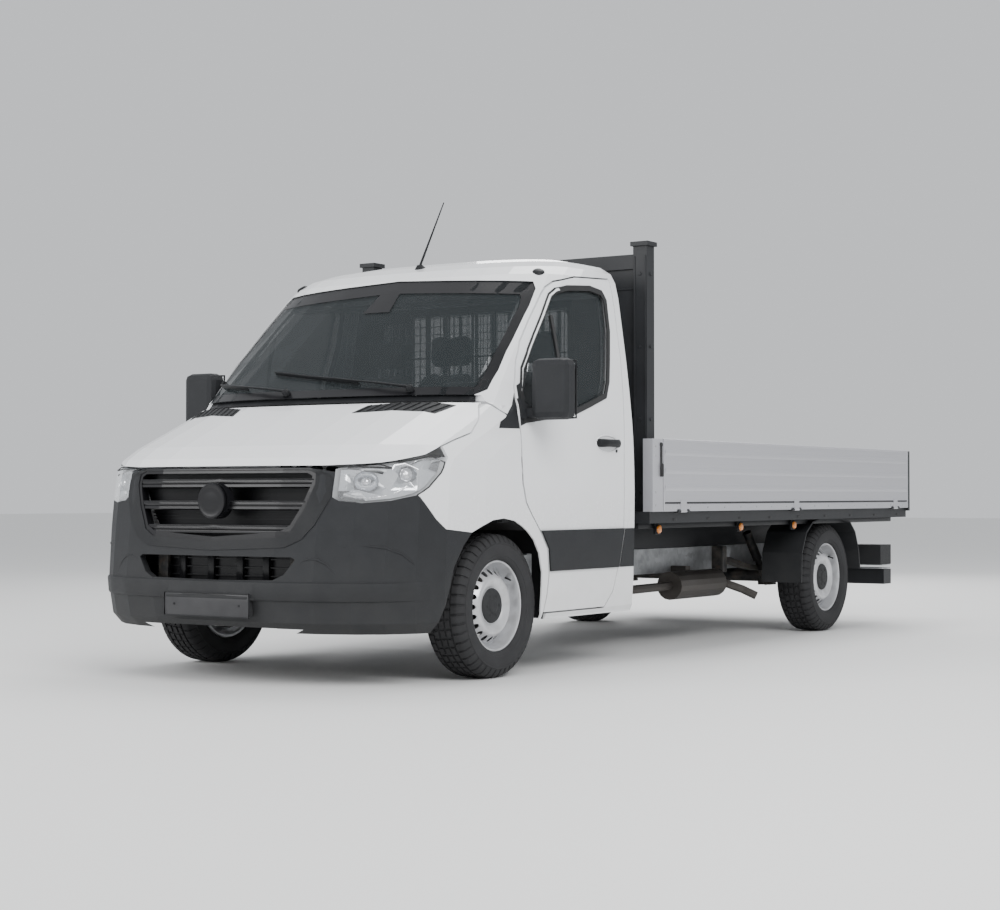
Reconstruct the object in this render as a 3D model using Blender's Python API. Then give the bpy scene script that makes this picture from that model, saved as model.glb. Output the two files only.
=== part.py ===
"""Flatbed truck: single cab, low chassis, dropside platform with a headboard.

Metres, +Z up. The truck faces -Y and its left side is +X. Sizes below are measured from the
front axle's line on the ground; one empty carries the truck so that the ground point under the
middle of its length is the origin.
"""
import math

import bmesh
import bpy
from mathutils import Matrix, Vector

# Running gear
WHEELBASE = 3.924
TYRE_RADIUS = 0.350
RIM_RADIUS = 0.221
WHEEL_X = 0.856
KINGPIN_X = 0.760
BRAKE_DISC = (0.836, 0.858)
AXLE_RADIUS = 0.040

# Cab
CAB_REAR = 1.250
CAB_BOTTOM = 0.267
CAB_WALL = 0.045
DOOR_WALL = 0.040
DOOR_GAP = 0.008
PANEL_GAP = 0.006
FENDER_WALL = 0.008
BONNET_WALL = 0.006
BUMPER_WALL = 0.030
GLASS_THICKNESS = 0.006
GLASS_INSET = 0.004
CLADDING_DEPTH = 0.010
CLADDING_TOP = 0.710
CLADDING_BOTTOM = 0.505
FLOOR_TOP = 0.620
FLOOR_THICKNESS = 0.030
BULKHEAD_Y = 0.030
BULKHEAD_THICKNESS = 0.030
WHEELHOUSE_TOP = 0.780
WHEELHOUSE_REAR = 0.450
COWL_Z = 1.335
SEAT_TOP = 0.990
DASH_TOP = 1.300

# Platform
DECK_FRONT = 1.366
DECK_REAR = 5.095
DECK_TOP = 0.795
RAIL_BOTTOM = 0.731
DECK_THICKNESS = 0.025
RAIL_OUTER = 1.040
BOARD_OUTER = 1.0595
BOARD_THICKNESS = 0.025
BOARD_TOP = 1.191
POST_WIDTH = 0.085
POST_OUTER = 0.975
POST_FRONT = 1.456
POST_TOP = 2.278
CORNER_POST_LENGTH = 0.120

# Chassis
FRAME_X = 0.420
FRAME_WIDTH = 0.070
FRAME_REAR = 5.030

# Shared clearances
SEAT_GAP = 0.0003
HINGE_GAP = 0.0003

# Height, nose, corner depth, half width. Each row is one level of the cab's skin: at the
# centre line its front is at nose, at the side at nose + corner depth.
CAB_LEVELS = (
    (0.250, -0.930, 0.740, 0.975),
    (0.300, -0.985, 0.790, 0.995),
    (0.450, -1.015, 0.815, 1.004),
    (0.720, -0.985, 0.790, 1.010),
    (0.900, -0.955, 0.760, 1.012),
    (1.010, -0.930, 0.740, 1.010),
    (1.060, -0.890, 0.740, 1.009),
    (1.120, -0.790, 0.760, 1.007),
    (1.200, -0.610, 0.780, 1.003),
    (1.270, -0.450, 0.780, 0.998),
    (1.335, -0.300, 0.720, 0.992),
    (1.450, -0.165, 0.620, 0.980),
    (1.600, 0.005, 0.520, 0.962),
    (1.800, 0.235, 0.440, 0.934),
    (1.950, 0.405, 0.400, 0.912),
    (2.030, 0.500, 0.380, 0.893),
    (2.080, 0.590, 0.380, 0.865),
    (2.120, 0.710, 0.360, 0.800),
    (2.150, 0.840, 0.320, 0.660),
    (2.165, 0.960, 0.240, 0.420),
)
CAB_SIDE_STEPS = 7

# Side outlines, each point (y, z)
DOOR_OUTLINE = (
    (0.354, 0.303), (0.380, 0.380), (0.394, 0.498), (0.377, 0.619), (0.309, 0.705),
    (0.230, 0.784), (0.174, 0.850), (0.145, 0.940), (0.135, 1.060), (0.135, 1.300),
    (0.160, 1.420), (0.222, 1.549), (0.289, 1.647), (0.403, 1.768), (0.553, 1.915),
    (0.595, 1.951), (0.660, 1.985), (0.828, 2.022), (1.187, 2.043), (1.187, 1.584),
    (1.140, 1.066), (1.132, 0.707),
    (1.082, 0.514), (1.033, 0.382), (0.949, 0.303),
)
DOOR_WINDOW = (
    (0.185, 1.255), (0.195, 1.400), (0.245, 1.510), (0.324, 1.610), (0.595, 1.906),
    (0.641, 1.935), (0.736, 1.956), (0.960, 1.974), (1.070, 1.960), (1.098, 1.920),
    (1.092, 1.760), (1.025, 1.489), (0.982, 1.409), (0.799, 1.353), (0.658, 1.313),
)
BONNET_LINE = (
    (-0.870, 1.018), (-0.750, 1.030), (-0.570, 1.069), (-0.461, 1.113), (-0.366, 1.144),
    (-0.244, 1.179), (-0.155, 1.239), (-0.083, 1.307), (-0.039, 1.335),
)
LAMP_OUTLINE = (
    (-0.950, 0.935), (-0.889, 0.881), (-0.876, 0.860), (-0.831, 0.849), (-0.748, 0.860),
    (-0.643, 0.886), (-0.582, 0.923), (-0.512, 0.989), (-0.468, 1.062), (-0.570, 1.062),
    (-0.750, 1.023), (-0.862, 1.004), (-0.950, 0.985),
)
LAMP_INNER_X = 0.632
FENDER_FRONT = (
    (-0.643, 0.886), (-0.601, 0.839), (-0.547, 0.773), (-0.492, 0.726), (-0.298, 0.708),
)
WHEEL_ARCH = (
    (-0.298, 0.708), (-0.212, 0.739), (-0.128, 0.764), (-0.033, 0.772), (0.064, 0.759),
    (0.141, 0.728), (0.185, 0.704), (0.241, 0.664), (0.292, 0.597), (0.322, 0.501),
    (0.322, 0.350), (0.322, 0.264),
)
BUMPER_REAR = (
    (-0.545, 0.240), (-0.484, 0.382), (-0.430, 0.550), (-0.360, 0.650), (-0.298, 0.708),
)

# Front outlines, each point (x, z), right half
GRILLE_HALF = ((0.0, 0.665), (0.390, 0.690), (0.455, 0.722), (0.514, 0.826), (0.555, 0.936),
               (0.550, 0.991), (0.505, 1.014), (0.0, 1.014))
INLET_HALF = ((0.0, 0.490), (0.370, 0.495), (0.425, 0.520), (0.480, 0.590), (0.460, 0.602),
              (0.0, 0.602))
WINDSCREEN_HALF = ((0.0, 1.3712), (0.850, 1.3712), (0.882, 1.400), (0.881, 1.500), (0.868, 1.645),
                   (0.845, 1.850), (0.826, 1.945), (0.795, 1.985), (0.0, 2.025))
REAR_WINDOW_HALF = ((0.0, 1.430), (0.590, 1.430), (0.620, 1.460), (0.620, 1.870),
                    (0.590, 1.900), (0.0, 1.900))

PLATE_FRONT = -1.0205

PAINT = (0.82, 0.83, 0.85)
PLASTIC = (0.045, 0.047, 0.052)
GLASS = (0.04, 0.05, 0.055)
ALUMINIUM = (0.48, 0.50, 0.54)
DARK_STEEL = (0.035, 0.037, 0.042)
GALVANISED = (0.30, 0.31, 0.34)
RUBBER = (0.015, 0.015, 0.016)
SILVER = (0.55, 0.56, 0.58)
FABRIC = (0.030, 0.030, 0.034)
LAMP = (0.70, 0.72, 0.75)
LAMP_RED = (0.35, 0.02, 0.02)
FLOOR_BOARD = (0.060, 0.042, 0.032)


def new_collection(name):
    """Make a collection in the scene."""
    collection = bpy.data.collections.new(name)
    bpy.context.scene.collection.children.link(collection)
    return collection


def material(name, color, roughness, metallic=0.0):
    """A plain Principled material."""
    made = bpy.data.materials.new(name)
    made.use_nodes = True
    shader = made.node_tree.nodes["Principled BSDF"]
    shader.inputs["Base Color"].default_value = (*color, 1.0)
    shader.inputs["Roughness"].default_value = roughness
    shader.inputs["Metallic"].default_value = metallic
    return made


def object_from(bm, name="piece"):
    """Turn a bmesh into an object of the scene, its faces pointing out."""
    bmesh.ops.recalc_face_normals(bm, faces=bm.faces)
    mesh = bpy.data.meshes.new(name)
    bm.to_mesh(mesh)
    bm.free()
    made = bpy.data.objects.new(name, mesh)
    bpy.context.scene.collection.objects.link(made)
    return made


def box(low, high):
    """A box between two corners."""
    bm = bmesh.new()
    bmesh.ops.create_cube(bm, size=1.0)
    size = [high[i] - low[i] for i in range(3)]
    middle = [(high[i] + low[i]) / 2 for i in range(3)]
    bmesh.ops.scale(bm, vec=size, verts=bm.verts)
    bmesh.ops.translate(bm, vec=middle, verts=bm.verts)
    return object_from(bm)


def prism(outline, axis, start, end):
    """A flat outline pushed along an axis. It is (y, z) for X, (x, z) for Y, (x, y) for Z."""
    place = {"X": lambda a, b, c: (c, a, b), "Y": lambda a, b, c: (a, c, b),
             "Z": lambda a, b, c: (a, b, c)}[axis]
    bm = bmesh.new()
    face = bm.faces.new([bm.verts.new(place(a, b, start)) for a, b in outline])
    pushed = bmesh.ops.extrude_face_region(bm, geom=[face])["geom"]
    moved = [v for v in pushed if isinstance(v, bmesh.types.BMVert)]
    bmesh.ops.translate(bm, vec=place(0, 0, end - start), verts=moved)
    return object_from(bm)


def cylinder(start, end, radius, end_radius=None, sides=16):
    """A round bar, or a cone, between two points."""
    start, end = Vector(start), Vector(end)
    bm = bmesh.new()
    bmesh.ops.create_cone(bm, cap_ends=True, segments=sides, radius1=radius,
                          radius2=radius if end_radius is None else end_radius,
                          depth=(end - start).length)
    turn = (end - start).to_track_quat("Z", "Y").to_matrix().to_4x4()
    bmesh.ops.transform(bm, matrix=Matrix.Translation((start + end) / 2) @ turn, verts=bm.verts)
    return object_from(bm)


def tube(points, radius, smooth=True, resolution=2):
    """A bent bar or pipe: a curve with filled caps, made a closed mesh."""
    curve = bpy.data.curves.new("tube", "CURVE")
    curve.dimensions = "3D"
    curve.bevel_depth = radius
    curve.bevel_resolution = resolution
    curve.use_fill_caps = True
    spline = curve.splines.new("POLY")
    spline.points.add(len(points) - 1)
    for at, point in zip(spline.points, points):
        at.co = (*point, 1.0)
    drawn = bpy.data.objects.new("tube", curve)
    bpy.context.scene.collection.objects.link(drawn)
    bpy.context.view_layer.update()
    evaluated = drawn.evaluated_get(bpy.context.evaluated_depsgraph_get())
    bm = bmesh.new()
    bm.from_mesh(bpy.data.meshes.new_from_object(evaluated))
    bmesh.ops.remove_doubles(bm, verts=bm.verts, dist=1e-5)
    bpy.data.objects.remove(drawn)
    return object_from(bm)


def turned(profile, centre, axis="X", steps=32):
    """A closed profile of (radius, along) turned about an axis through centre."""
    bm = bmesh.new()
    rows = [bm.verts.new((radius, 0.0, along)) for radius, along in profile]
    closed = profile[0][0] > 0
    edges = [bm.edges.new(pair) for pair in zip(rows, rows[1:] + rows[:1] if closed else rows[1:])]
    bmesh.ops.spin(bm, geom=rows + edges, cent=(0, 0, 0), axis=(0, 0, 1),
                   angle=2 * math.pi, steps=steps, use_merge=True)
    bmesh.ops.remove_doubles(bm, verts=bm.verts, dist=1e-6)
    turn = {"X": Matrix.Rotation(math.pi / 2, 4, "Y"), "Y": Matrix.Rotation(-math.pi / 2, 4, "X"),
            "Z": Matrix.Identity(4)}[axis]
    bmesh.ops.transform(bm, matrix=Matrix.Translation(centre) @ turn, verts=bm.verts)
    return object_from(bm)


def combine(target, tools, operation):
    """Cut, join or intersect target with each tool in turn, exactly."""
    for tool in tools:
        step = target.modifiers.new("step", "BOOLEAN")
        step.operation = operation
        step.solver = "EXACT"
        step.object = tool
        bpy.context.view_layer.update()
        evaluated = target.evaluated_get(bpy.context.evaluated_depsgraph_get())
        mesh = bpy.data.meshes.new_from_object(evaluated)
        target.modifiers.remove(step)
        target.data = mesh
        bpy.data.objects.remove(tool)
    return target


def cut(target, *tools):
    """Take the tools' shapes out of target."""
    return combine(target, tools, "DIFFERENCE")


def join(target, *tools):
    """Make target and the tools one body."""
    return combine(target, tools, "UNION")


def keep(target, *tools):
    """Leave only what lies inside the tools."""
    return combine(target, tools, "INTERSECT")


def mirrored(source):
    """A copy of a piece, mirrored to the other side."""
    bm = bmesh.new()
    bm.from_mesh(source.data)
    bmesh.ops.scale(bm, vec=(-1, 1, 1), verts=bm.verts)
    return object_from(bm)


def both_sides(half):
    """A whole front outline from its half, which starts and ends on the centre line."""
    inner = [point for point in half if point[0] > 0]
    return list(half) + [(-x, z) for x, z in reversed(inner)]


def grown(outline, by):
    """An outline moved outwards by a distance, its corners mitred."""
    count = len(outline)
    area = sum(outline[i][0] * outline[(i + 1) % count][1] -
               outline[(i + 1) % count][0] * outline[i][1] for i in range(count))
    side = 1.0 if area > 0 else -1.0
    result = []
    for i in range(count):
        before = Vector(outline[i]) - Vector(outline[i - 1])
        after = Vector(outline[(i + 1) % count]) - Vector(outline[i])
        normal_before = Vector((before.y, -before.x)).normalized() * side
        normal_after = Vector((after.y, -after.x)).normalized() * side
        middle = (normal_before + normal_after).normalized()
        reach = by / max(0.5, middle.dot(normal_before))
        result.append(tuple(Vector(outline[i]) + middle * reach))
    return result


def cab_ring(height, nose, depth, half, rear):
    """One level of the cab's skin, from the right rear corner round the nose to the left."""
    left = []
    for i in range(CAB_SIDE_STEPS + 1):
        turn = math.pi / 2 * i / CAB_SIDE_STEPS
        across = half * math.sin(turn) ** (2 / 3)
        along = nose + depth * (1 - max(0.0, math.cos(turn)) ** (2 / 3))
        left.append((across, along, height))
    left.append((half, rear, height))
    return [(-x, y, z) for x, y, z in reversed(left[1:])] + left


def cab_solid(inset):
    """The cab's outer form, moved inwards by inset, as one closed solid."""
    bm = bmesh.new()
    rings = []
    for height, nose, depth, half in CAB_LEVELS:
        ring = cab_ring(height - inset, nose + inset, depth, half - inset, CAB_REAR - inset)
        rings.append([bm.verts.new(point) for point in ring])
    count = len(rings[0])
    for lower, upper in zip(rings, rings[1:]):
        for i in range(count):
            after = (i + 1) % count
            bm.faces.new((lower[i], lower[after], upper[after], upper[i]))
    bm.faces.new(list(reversed(rings[0])))
    bm.faces.new(rings[-1])
    bmesh.ops.triangulate(bm, faces=bm.faces)
    return object_from(bm)


def cab_skin(outer, inner):
    """The cab's wall between two insets, open below."""
    return cut(cab_solid(outer), cab_solid(inner))


SIDE = 1.3


def side_prism(outline, start=0.3, end=SIDE):
    """A side outline pushed through the left side of the cab."""
    return prism(outline, "X", start, end)


def through_prism(outline):
    """A side outline pushed through the whole cab."""
    return prism(outline, "X", -SIDE, SIDE)


def skin_piece(outline, wall, lift=0.0, start=0.3):
    """The left part of the cab's skin inside a side outline, as thick as wall."""
    return keep(cab_skin(lift, wall), side_prism(outline, start))


def skin_across(outline, wall, lift=0.0):
    """The cab's skin inside a side outline, on both sides and round the front."""
    return keep(cab_skin(lift, wall), through_prism(outline))


def front_prism(half, start=-1.3, end=0.9):
    """A front outline pushed along the cab."""
    return prism(both_sides(half), "Y", start, end)


def band(low, high, front=-1.3, rear=1.4):
    """A side outline between two heights."""
    return ((front, low), (rear, low), (rear, high), (front, high))


# Door hinges: the axis stands just inside the skin at the door's front edge
DOOR_AXIS_X = 1.0045
DOOR_AXIS_Y = 0.150
DOOR_HINGE_HEIGHTS = (0.965, 1.045)
HINGE_HALF = 0.022
KNUCKLE_HALF = 0.010
DOOR_PIN_RADIUS = 0.003
POCKET_DEPTH = 0.009
PILLAR_INNER = 0.900


def hinge_pocket(height):
    """The room in the door's front edge for one hinge."""
    return box((DOOR_AXIS_X - 0.060, DOOR_AXIS_Y - 0.030, height - HINGE_HALF - 0.005),
               (DOOR_AXIS_X + 0.0033, DOOR_AXIS_Y + POCKET_DEPTH, height + HINGE_HALF + 0.005))


def door():
    """The left door: the skin inside its outline, less its window and hinge pockets."""
    made = skin_piece(DOOR_OUTLINE, DOOR_WALL, start=0.6)
    cut(made, side_prism(DOOR_WINDOW, 0.6))
    for height in DOOR_HINGE_HEIGHTS:
        cut(made, hinge_pocket(height))
        arm = box((DOOR_AXIS_X - 0.006, DOOR_AXIS_Y, height - KNUCKLE_HALF),
                  (DOOR_AXIS_X + 0.002, DOOR_AXIS_Y + POCKET_DEPTH + 0.010, height + KNUCKLE_HALF))
        knuckle = cylinder((DOOR_AXIS_X, DOOR_AXIS_Y, height - KNUCKLE_HALF),
                           (DOOR_AXIS_X, DOOR_AXIS_Y, height + KNUCKLE_HALF), DOOR_PIN_RADIUS,
                           sides=8)
        join(made, join(knuckle, arm))
    return made


def door_hinge_ears():
    """The left pillar's ears, above and below each door knuckle."""
    ears = []
    for height in DOOR_HINGE_HEIGHTS:
        for side in (-1, 1):
            near = height + side * (KNUCKLE_HALF + HINGE_GAP)
            far = height + side * HINGE_HALF
            low, high = min(near, far), max(near, far)
            pin = cylinder((DOOR_AXIS_X, DOOR_AXIS_Y, low), (DOOR_AXIS_X, DOOR_AXIS_Y, high),
                           DOOR_PIN_RADIUS, sides=8)
            plate = box((PILLAR_INNER + 0.020, DOOR_AXIS_Y - 0.0025, low),
                        (DOOR_AXIS_X, DOOR_AXIS_Y + 0.0025, high))
            foot = box((PILLAR_INNER + 0.010, DOOR_AXIS_Y - 0.060, low),
                       (PILLAR_INNER + 0.040, DOOR_AXIS_Y + 0.0025, high))
            ears.append(join(pin, plate, foot))
    return ears


# Bonnet hinges: the axis runs across, just under the bonnet's rear corners
BONNET_AXIS_Y = -0.036
BONNET_AXIS_Z = 1.330
BONNET_ARM = (0.850, 0.866)
BONNET_EAR = (0.8663, 0.878)
BONNET_PIN_RADIUS = 0.006
BONNET_OUTLINE = BONNET_LINE[:8] + ((-0.050, COWL_Z), (-1.2, COWL_Z), (-1.2, 1.018))


def bonnet():
    """The bonnet: one thin skin with a hinge arm at each rear corner."""
    made = skin_across(grown(BONNET_OUTLINE, -PANEL_GAP * 2 / 3), BONNET_WALL)
    arm_side = ((-0.140, 1.3035), (-0.100, 1.3195), (BONNET_AXIS_Y, BONNET_AXIS_Z + 0.0045),
                (BONNET_AXIS_Y, BONNET_AXIS_Z - 0.0045), (-0.095, 1.290), (-0.130, 1.270))
    for side in (1, -1):
        ends = sorted((side * BONNET_ARM[0], side * BONNET_ARM[1]))
        arm = prism(arm_side, "X", *ends)
        pin = cylinder((ends[0], BONNET_AXIS_Y, BONNET_AXIS_Z),
                       (ends[1], BONNET_AXIS_Y, BONNET_AXIS_Z), BONNET_PIN_RADIUS, sides=8)
        join(made, join(arm, pin))
    return made


def bonnet_ears():
    """The ears on the bulkhead that carry the bonnet's pins."""
    ears = []
    for side in (1, -1):
        ends = sorted((side * BONNET_EAR[0], side * BONNET_EAR[1]))
        pin = cylinder((ends[0], BONNET_AXIS_Y, BONNET_AXIS_Z),
                       (ends[1], BONNET_AXIS_Y, BONNET_AXIS_Z), BONNET_PIN_RADIUS, sides=8)
        plate = box((ends[0], BONNET_AXIS_Y - 0.006, 1.240), (ends[1], BULKHEAD_Y + 0.010,
                                                              BONNET_AXIS_Z - 0.002))
        ears.append(join(pin, plate))
    return ears


DOOR_HOLE = grown(DOOR_OUTLINE, DOOR_GAP)
FRONT_ZONE = ((-1.2, 0.1), (0.360, 0.1)) + tuple(
    (y + 0.008, z) for y, z in DOOR_OUTLINE[1:9]) + (
    (0.143, 1.220), (0.020, 1.300), (-0.024, 1.342), (-0.024, 1.3715), (-1.2, 1.3715))
BULKHEAD = ((BULKHEAD_Y, 1.330), (BULKHEAD_Y, WHEELHOUSE_TOP - 0.030),
            (WHEELHOUSE_REAR - 0.030, WHEELHOUSE_TOP - 0.030),
            (WHEELHOUSE_REAR - 0.030, FLOOR_TOP - FLOOR_THICKNESS),
            (CAB_REAR - 0.020, FLOOR_TOP - FLOOR_THICKNESS), (CAB_REAR - 0.020, FLOOR_TOP),
            (WHEELHOUSE_REAR, FLOOR_TOP), (WHEELHOUSE_REAR, WHEELHOUSE_TOP),
            (BULKHEAD_Y + BULKHEAD_THICKNESS, WHEELHOUSE_TOP),
            (BULKHEAD_Y + BULKHEAD_THICKNESS, 1.330))
INNER_HALF = 0.930
SILL_INNER = 0.878


def cab_shell():
    """Roof, pillars, back wall, sills, floor and bulkhead as one body."""
    shell = cut(cab_solid(0.0), cab_solid(CAB_WALL))
    below = box((-SIDE, -1.3, -0.5), (SIDE, 1.4, CAB_BOTTOM))
    cut(shell, below, through_prism(FRONT_ZONE), front_prism(WINDSCREEN_HALF, -1.3, 0.9))
    for side in (1, -1):
        ends = sorted((side * 0.6, side * SIDE))
        cut(shell, prism(DOOR_HOLE, "X", *ends))
    cut(shell, prism(both_sides(REAR_WINDOW_HALF), "Y", 1.1, 1.4))
    under_floor = FLOOR_TOP - FLOOR_THICKNESS
    cut(shell, box((-SILL_INNER, 1.150, -0.5), (SILL_INNER, 1.400, under_floor)))
    inside = prism(BULKHEAD, "X", -INNER_HALF, INNER_HALF)
    join(shell, inside)
    for side in (1, -1):
        ends = sorted((side * 0.880, side * 0.950))
        sill = box((ends[0], WHEELHOUSE_REAR - 0.028, CAB_BOTTOM), (ends[1], CAB_REAR - 0.010,
                                                                   FLOOR_TOP - 0.010))
        ends = sorted((side * 0.900, side * 0.985))
        step = box((ends[0], WHEELHOUSE_REAR - 0.026, CAB_BOTTOM + 0.001),
                   (ends[1], CAB_REAR - 0.012, 0.290))
        ends = sorted((side * PILLAR_INNER, side * 0.955))
        pillar = box((ends[0], BULKHEAD_Y + 0.005, WHEELHOUSE_TOP - 0.028), (ends[1], 0.105, 1.322))
        ends = sorted((side * (STRUT_X - 0.050), side * (STRUT_X + 0.050)))
        tower = box((ends[0], -0.055, WHEELHOUSE_TOP - 0.030), (ends[1], BULKHEAD_Y + 0.020, 0.860))
        join(shell, sill, step, pillar, tower)
    for ear in door_hinge_ears():
        other = mirrored(ear)
        join(shell, ear, other)
    for ear in bonnet_ears():
        join(shell, ear)
    return shell


FENDER_OUTLINE = tuple(reversed(FENDER_FRONT)) + (
    (-0.582, 0.923), (-0.512, 0.989), (-0.462, 1.062), (-0.461, 1.113)) + BONNET_LINE[4:8] + (
    (-0.030, 1.330), (0.020, 1.292), (0.127, 1.212), (0.127, 1.060), (0.134, 0.940),
    (0.163, 0.850), (0.222, 0.784), (0.301, 0.705), (0.369, 0.619), (0.386, 0.498),
    (0.372, 0.380), (0.346, 0.303), (0.346, CAB_BOTTOM)) + tuple(reversed(WHEEL_ARCH[1:]))
BUMPER_OUTLINE = ((-1.2, 0.200),) + BUMPER_REAR + tuple(reversed(FENDER_FRONT[:-1])) + (
    (-0.700, 0.950), (-0.862, 0.990), (-0.900, 1.012), (-1.2, 1.012))


def lamp_room(side, gap):
    """The block of space that a head lamp fills."""
    ends = sorted((side * (LAMP_INNER_X - gap), side * SIDE))
    return prism(grown(LAMP_OUTLINE, gap), "X", *ends)


def front_bumper():
    """Bumper with the lamp, grille and inlet openings and a holder for the plate."""
    made = skin_across(BUMPER_OUTLINE, BUMPER_WALL)
    for side in (1, -1):
        cut(made, lamp_room(side, SEAT_GAP))
    cut(made, front_prism(GRILLE_HALF, -1.3, -0.5), front_prism(INLET_HALF, -1.3, -0.5))
    join(made, box((-0.250, PLATE_FRONT, 0.330), (0.250, -0.970, 0.420)))
    return made


GRILLE_BARS = (0.955, 0.930, 0.853, 0.827, 0.740, 0.715)
GRILLE_BAR_HEIGHT = 0.012
GRILLE_RIM = 0.026
GRILLE_DEPTH = 0.035
EMBLEM_Z = 0.859
EMBLEM_RADIUS = 0.085


def grille():
    """Grille: a rim round the opening, bars across and a bare round boss."""
    outline = both_sides(GRILLE_HALF)
    outer = grown(outline, -SEAT_GAP)
    inner = grown(outline, -GRILLE_RIM)
    rim = keep(cab_skin(0.001, GRILLE_DEPTH), prism(outer, "Y", -1.3, -0.5))
    cut(rim, prism(inner, "Y", -1.4, -0.4))
    for height in GRILLE_BARS:
        bar = keep(cab_skin(0.003, GRILLE_DEPTH - 0.005), through_prism(
            band(height - GRILLE_BAR_HEIGHT / 2, height + GRILLE_BAR_HEIGHT / 2, -1.3, -0.5)))
        join(rim, keep(bar, prism(grown(outline, -GRILLE_RIM / 2), "Y", -1.4, -0.4)))
    boss = cylinder((0, -0.975, EMBLEM_Z), (0, -0.930, EMBLEM_Z), EMBLEM_RADIUS, sides=20)
    return join(rim, boss)


def headlamp():
    """The left head lamp, as deep as the bumper's wall and its own housing."""
    return keep(cab_skin(0.001, 0.060), prism(LAMP_OUTLINE, "X", LAMP_INNER_X, SIDE))


def windscreen():
    """The bent front glass."""
    made = cab_skin(GLASS_INSET, GLASS_INSET + GLASS_THICKNESS)
    outline = grown(both_sides(WINDSCREEN_HALF), -SEAT_GAP)
    return keep(made, prism(outline, "Y", -1.3, 0.9))


def door_glass():
    """The left door's glass, set into the window."""
    return skin_piece(grown(DOOR_WINDOW, -SEAT_GAP), 0.018, 0.012, start=0.6)


def rear_window():
    """The glass in the cab's back wall."""
    outline = grown(both_sides(REAR_WINDOW_HALF), -SEAT_GAP)
    return prism(outline, "Y", CAB_REAR - 0.020, CAB_REAR - 0.014)


PARTITION_BARS = 7
PARTITION_ROWS = 1


def partition_guard():
    """A grid of bars in a frame, in front of the rear window inside the cab."""
    front = CAB_REAR - CAB_WALL - 0.018
    rear = CAB_REAR - CAB_WALL - SEAT_GAP
    frame = box((-0.660, front, 1.390), (0.660, rear, 1.940))
    cut(frame, box((-0.630, front - 0.1, 1.420), (0.630, rear + 0.1, 1.910)))
    for i in range(PARTITION_BARS):
        x = -0.630 + 1.260 * (i + 1) / (PARTITION_BARS + 1)
        join(frame, box((x - 0.004, front + 0.004, 1.410), (x + 0.004, front + 0.012, 1.920)))
    for i in range(PARTITION_ROWS):
        z = 1.420 + 0.490 * (i + 1) / (PARTITION_ROWS + 1)
        join(frame, box((-0.640, front + 0.002, z - 0.004), (0.640, front + 0.010, z + 0.004)))
    return frame


SCUTTLE_INSET = 0.012


def scuttle_panel():
    """The plastic panel under the windscreen, with the two wiper arms."""
    made = skin_across(band(COWL_Z + PANEL_GAP, 1.3715 - SEAT_GAP), 0.040, SCUTTLE_INSET)
    keep(made, box((-0.840, -1.2, 1.0), (0.840, -0.0240 - SEAT_GAP, 1.6)))
    return made


def cladding():
    """The dark strip on the left door."""
    strip = ((0.0, CLADDING_BOTTOM), (1.3, CLADDING_BOTTOM), (1.3, CLADDING_TOP), (0.0, CLADDING_TOP))
    made = keep(cab_skin(-CLADDING_DEPTH, -SEAT_GAP), side_prism(DOOR_OUTLINE, 0.6))
    return keep(made, side_prism(strip, 0.6))


MIRROR_LOW = (1.030, 0.165, 1.255)
MIRROR_HIGH = (1.235, 0.285, 1.555)


def mirror():
    """The left mirror: a rounded housing on an arm from the door."""
    base = skin_piece(((0.150, 1.262), (0.240, 1.262), (0.240, 1.320), (0.150, 1.360)),
                      -SEAT_GAP, -0.012, start=0.6)
    arm = box((0.9995, 0.180, 1.268), (MIRROR_LOW[0] + 0.020, 0.232, 1.312))
    housing = box(MIRROR_LOW, MIRROR_HIGH)
    bm = bmesh.new()
    bm.from_mesh(housing.data)
    bmesh.ops.bevel(bm, geom=bm.edges[:], offset=0.035, segments=2, profile=0.5,
                    affect="EDGES", clamp_overlap=True)
    bm.to_mesh(housing.data)
    bm.free()
    return join(housing, arm, base)


# Aerial: it stands on the roof's front slope and leans back
AERIAL_FOOT = Vector((0.0, 0.688, 2.1127))
AERIAL_TIP = Vector((0.0, 0.912, 2.499))
ROOF_NORMAL = Vector((0.0, -0.316, 0.949))


def aerial():
    """The roof aerial: a round foot and a rod."""
    low = AERIAL_FOOT + ROOF_NORMAL * SEAT_GAP
    top = low + ROOF_NORMAL * 0.020
    foot = cylinder(low, top, 0.030, 0.014, sides=12)
    return join(foot, cylinder(low + ROOF_NORMAL * 0.010, AERIAL_TIP, 0.007, 0.003, sides=8))


DASH_SIDE = ((0.0603, 1.100), (0.340, 0.960), (0.380, 1.000), (0.380, 1.200), (0.330, 1.275),
             (0.180, DASH_TOP), (0.0603, DASH_TOP))
DASH_HALF = 0.860
STEERING_CENTRE = Vector((0.400, 0.520, 1.275))
STEERING_TILT = math.radians(62)
STEERING_RADIUS = 0.190
COLUMN_LENGTH = 0.280


def dashboard():
    """The dashboard, from side to side under the windscreen."""
    return prism(DASH_SIDE, "X", -DASH_HALF, DASH_HALF)


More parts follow.
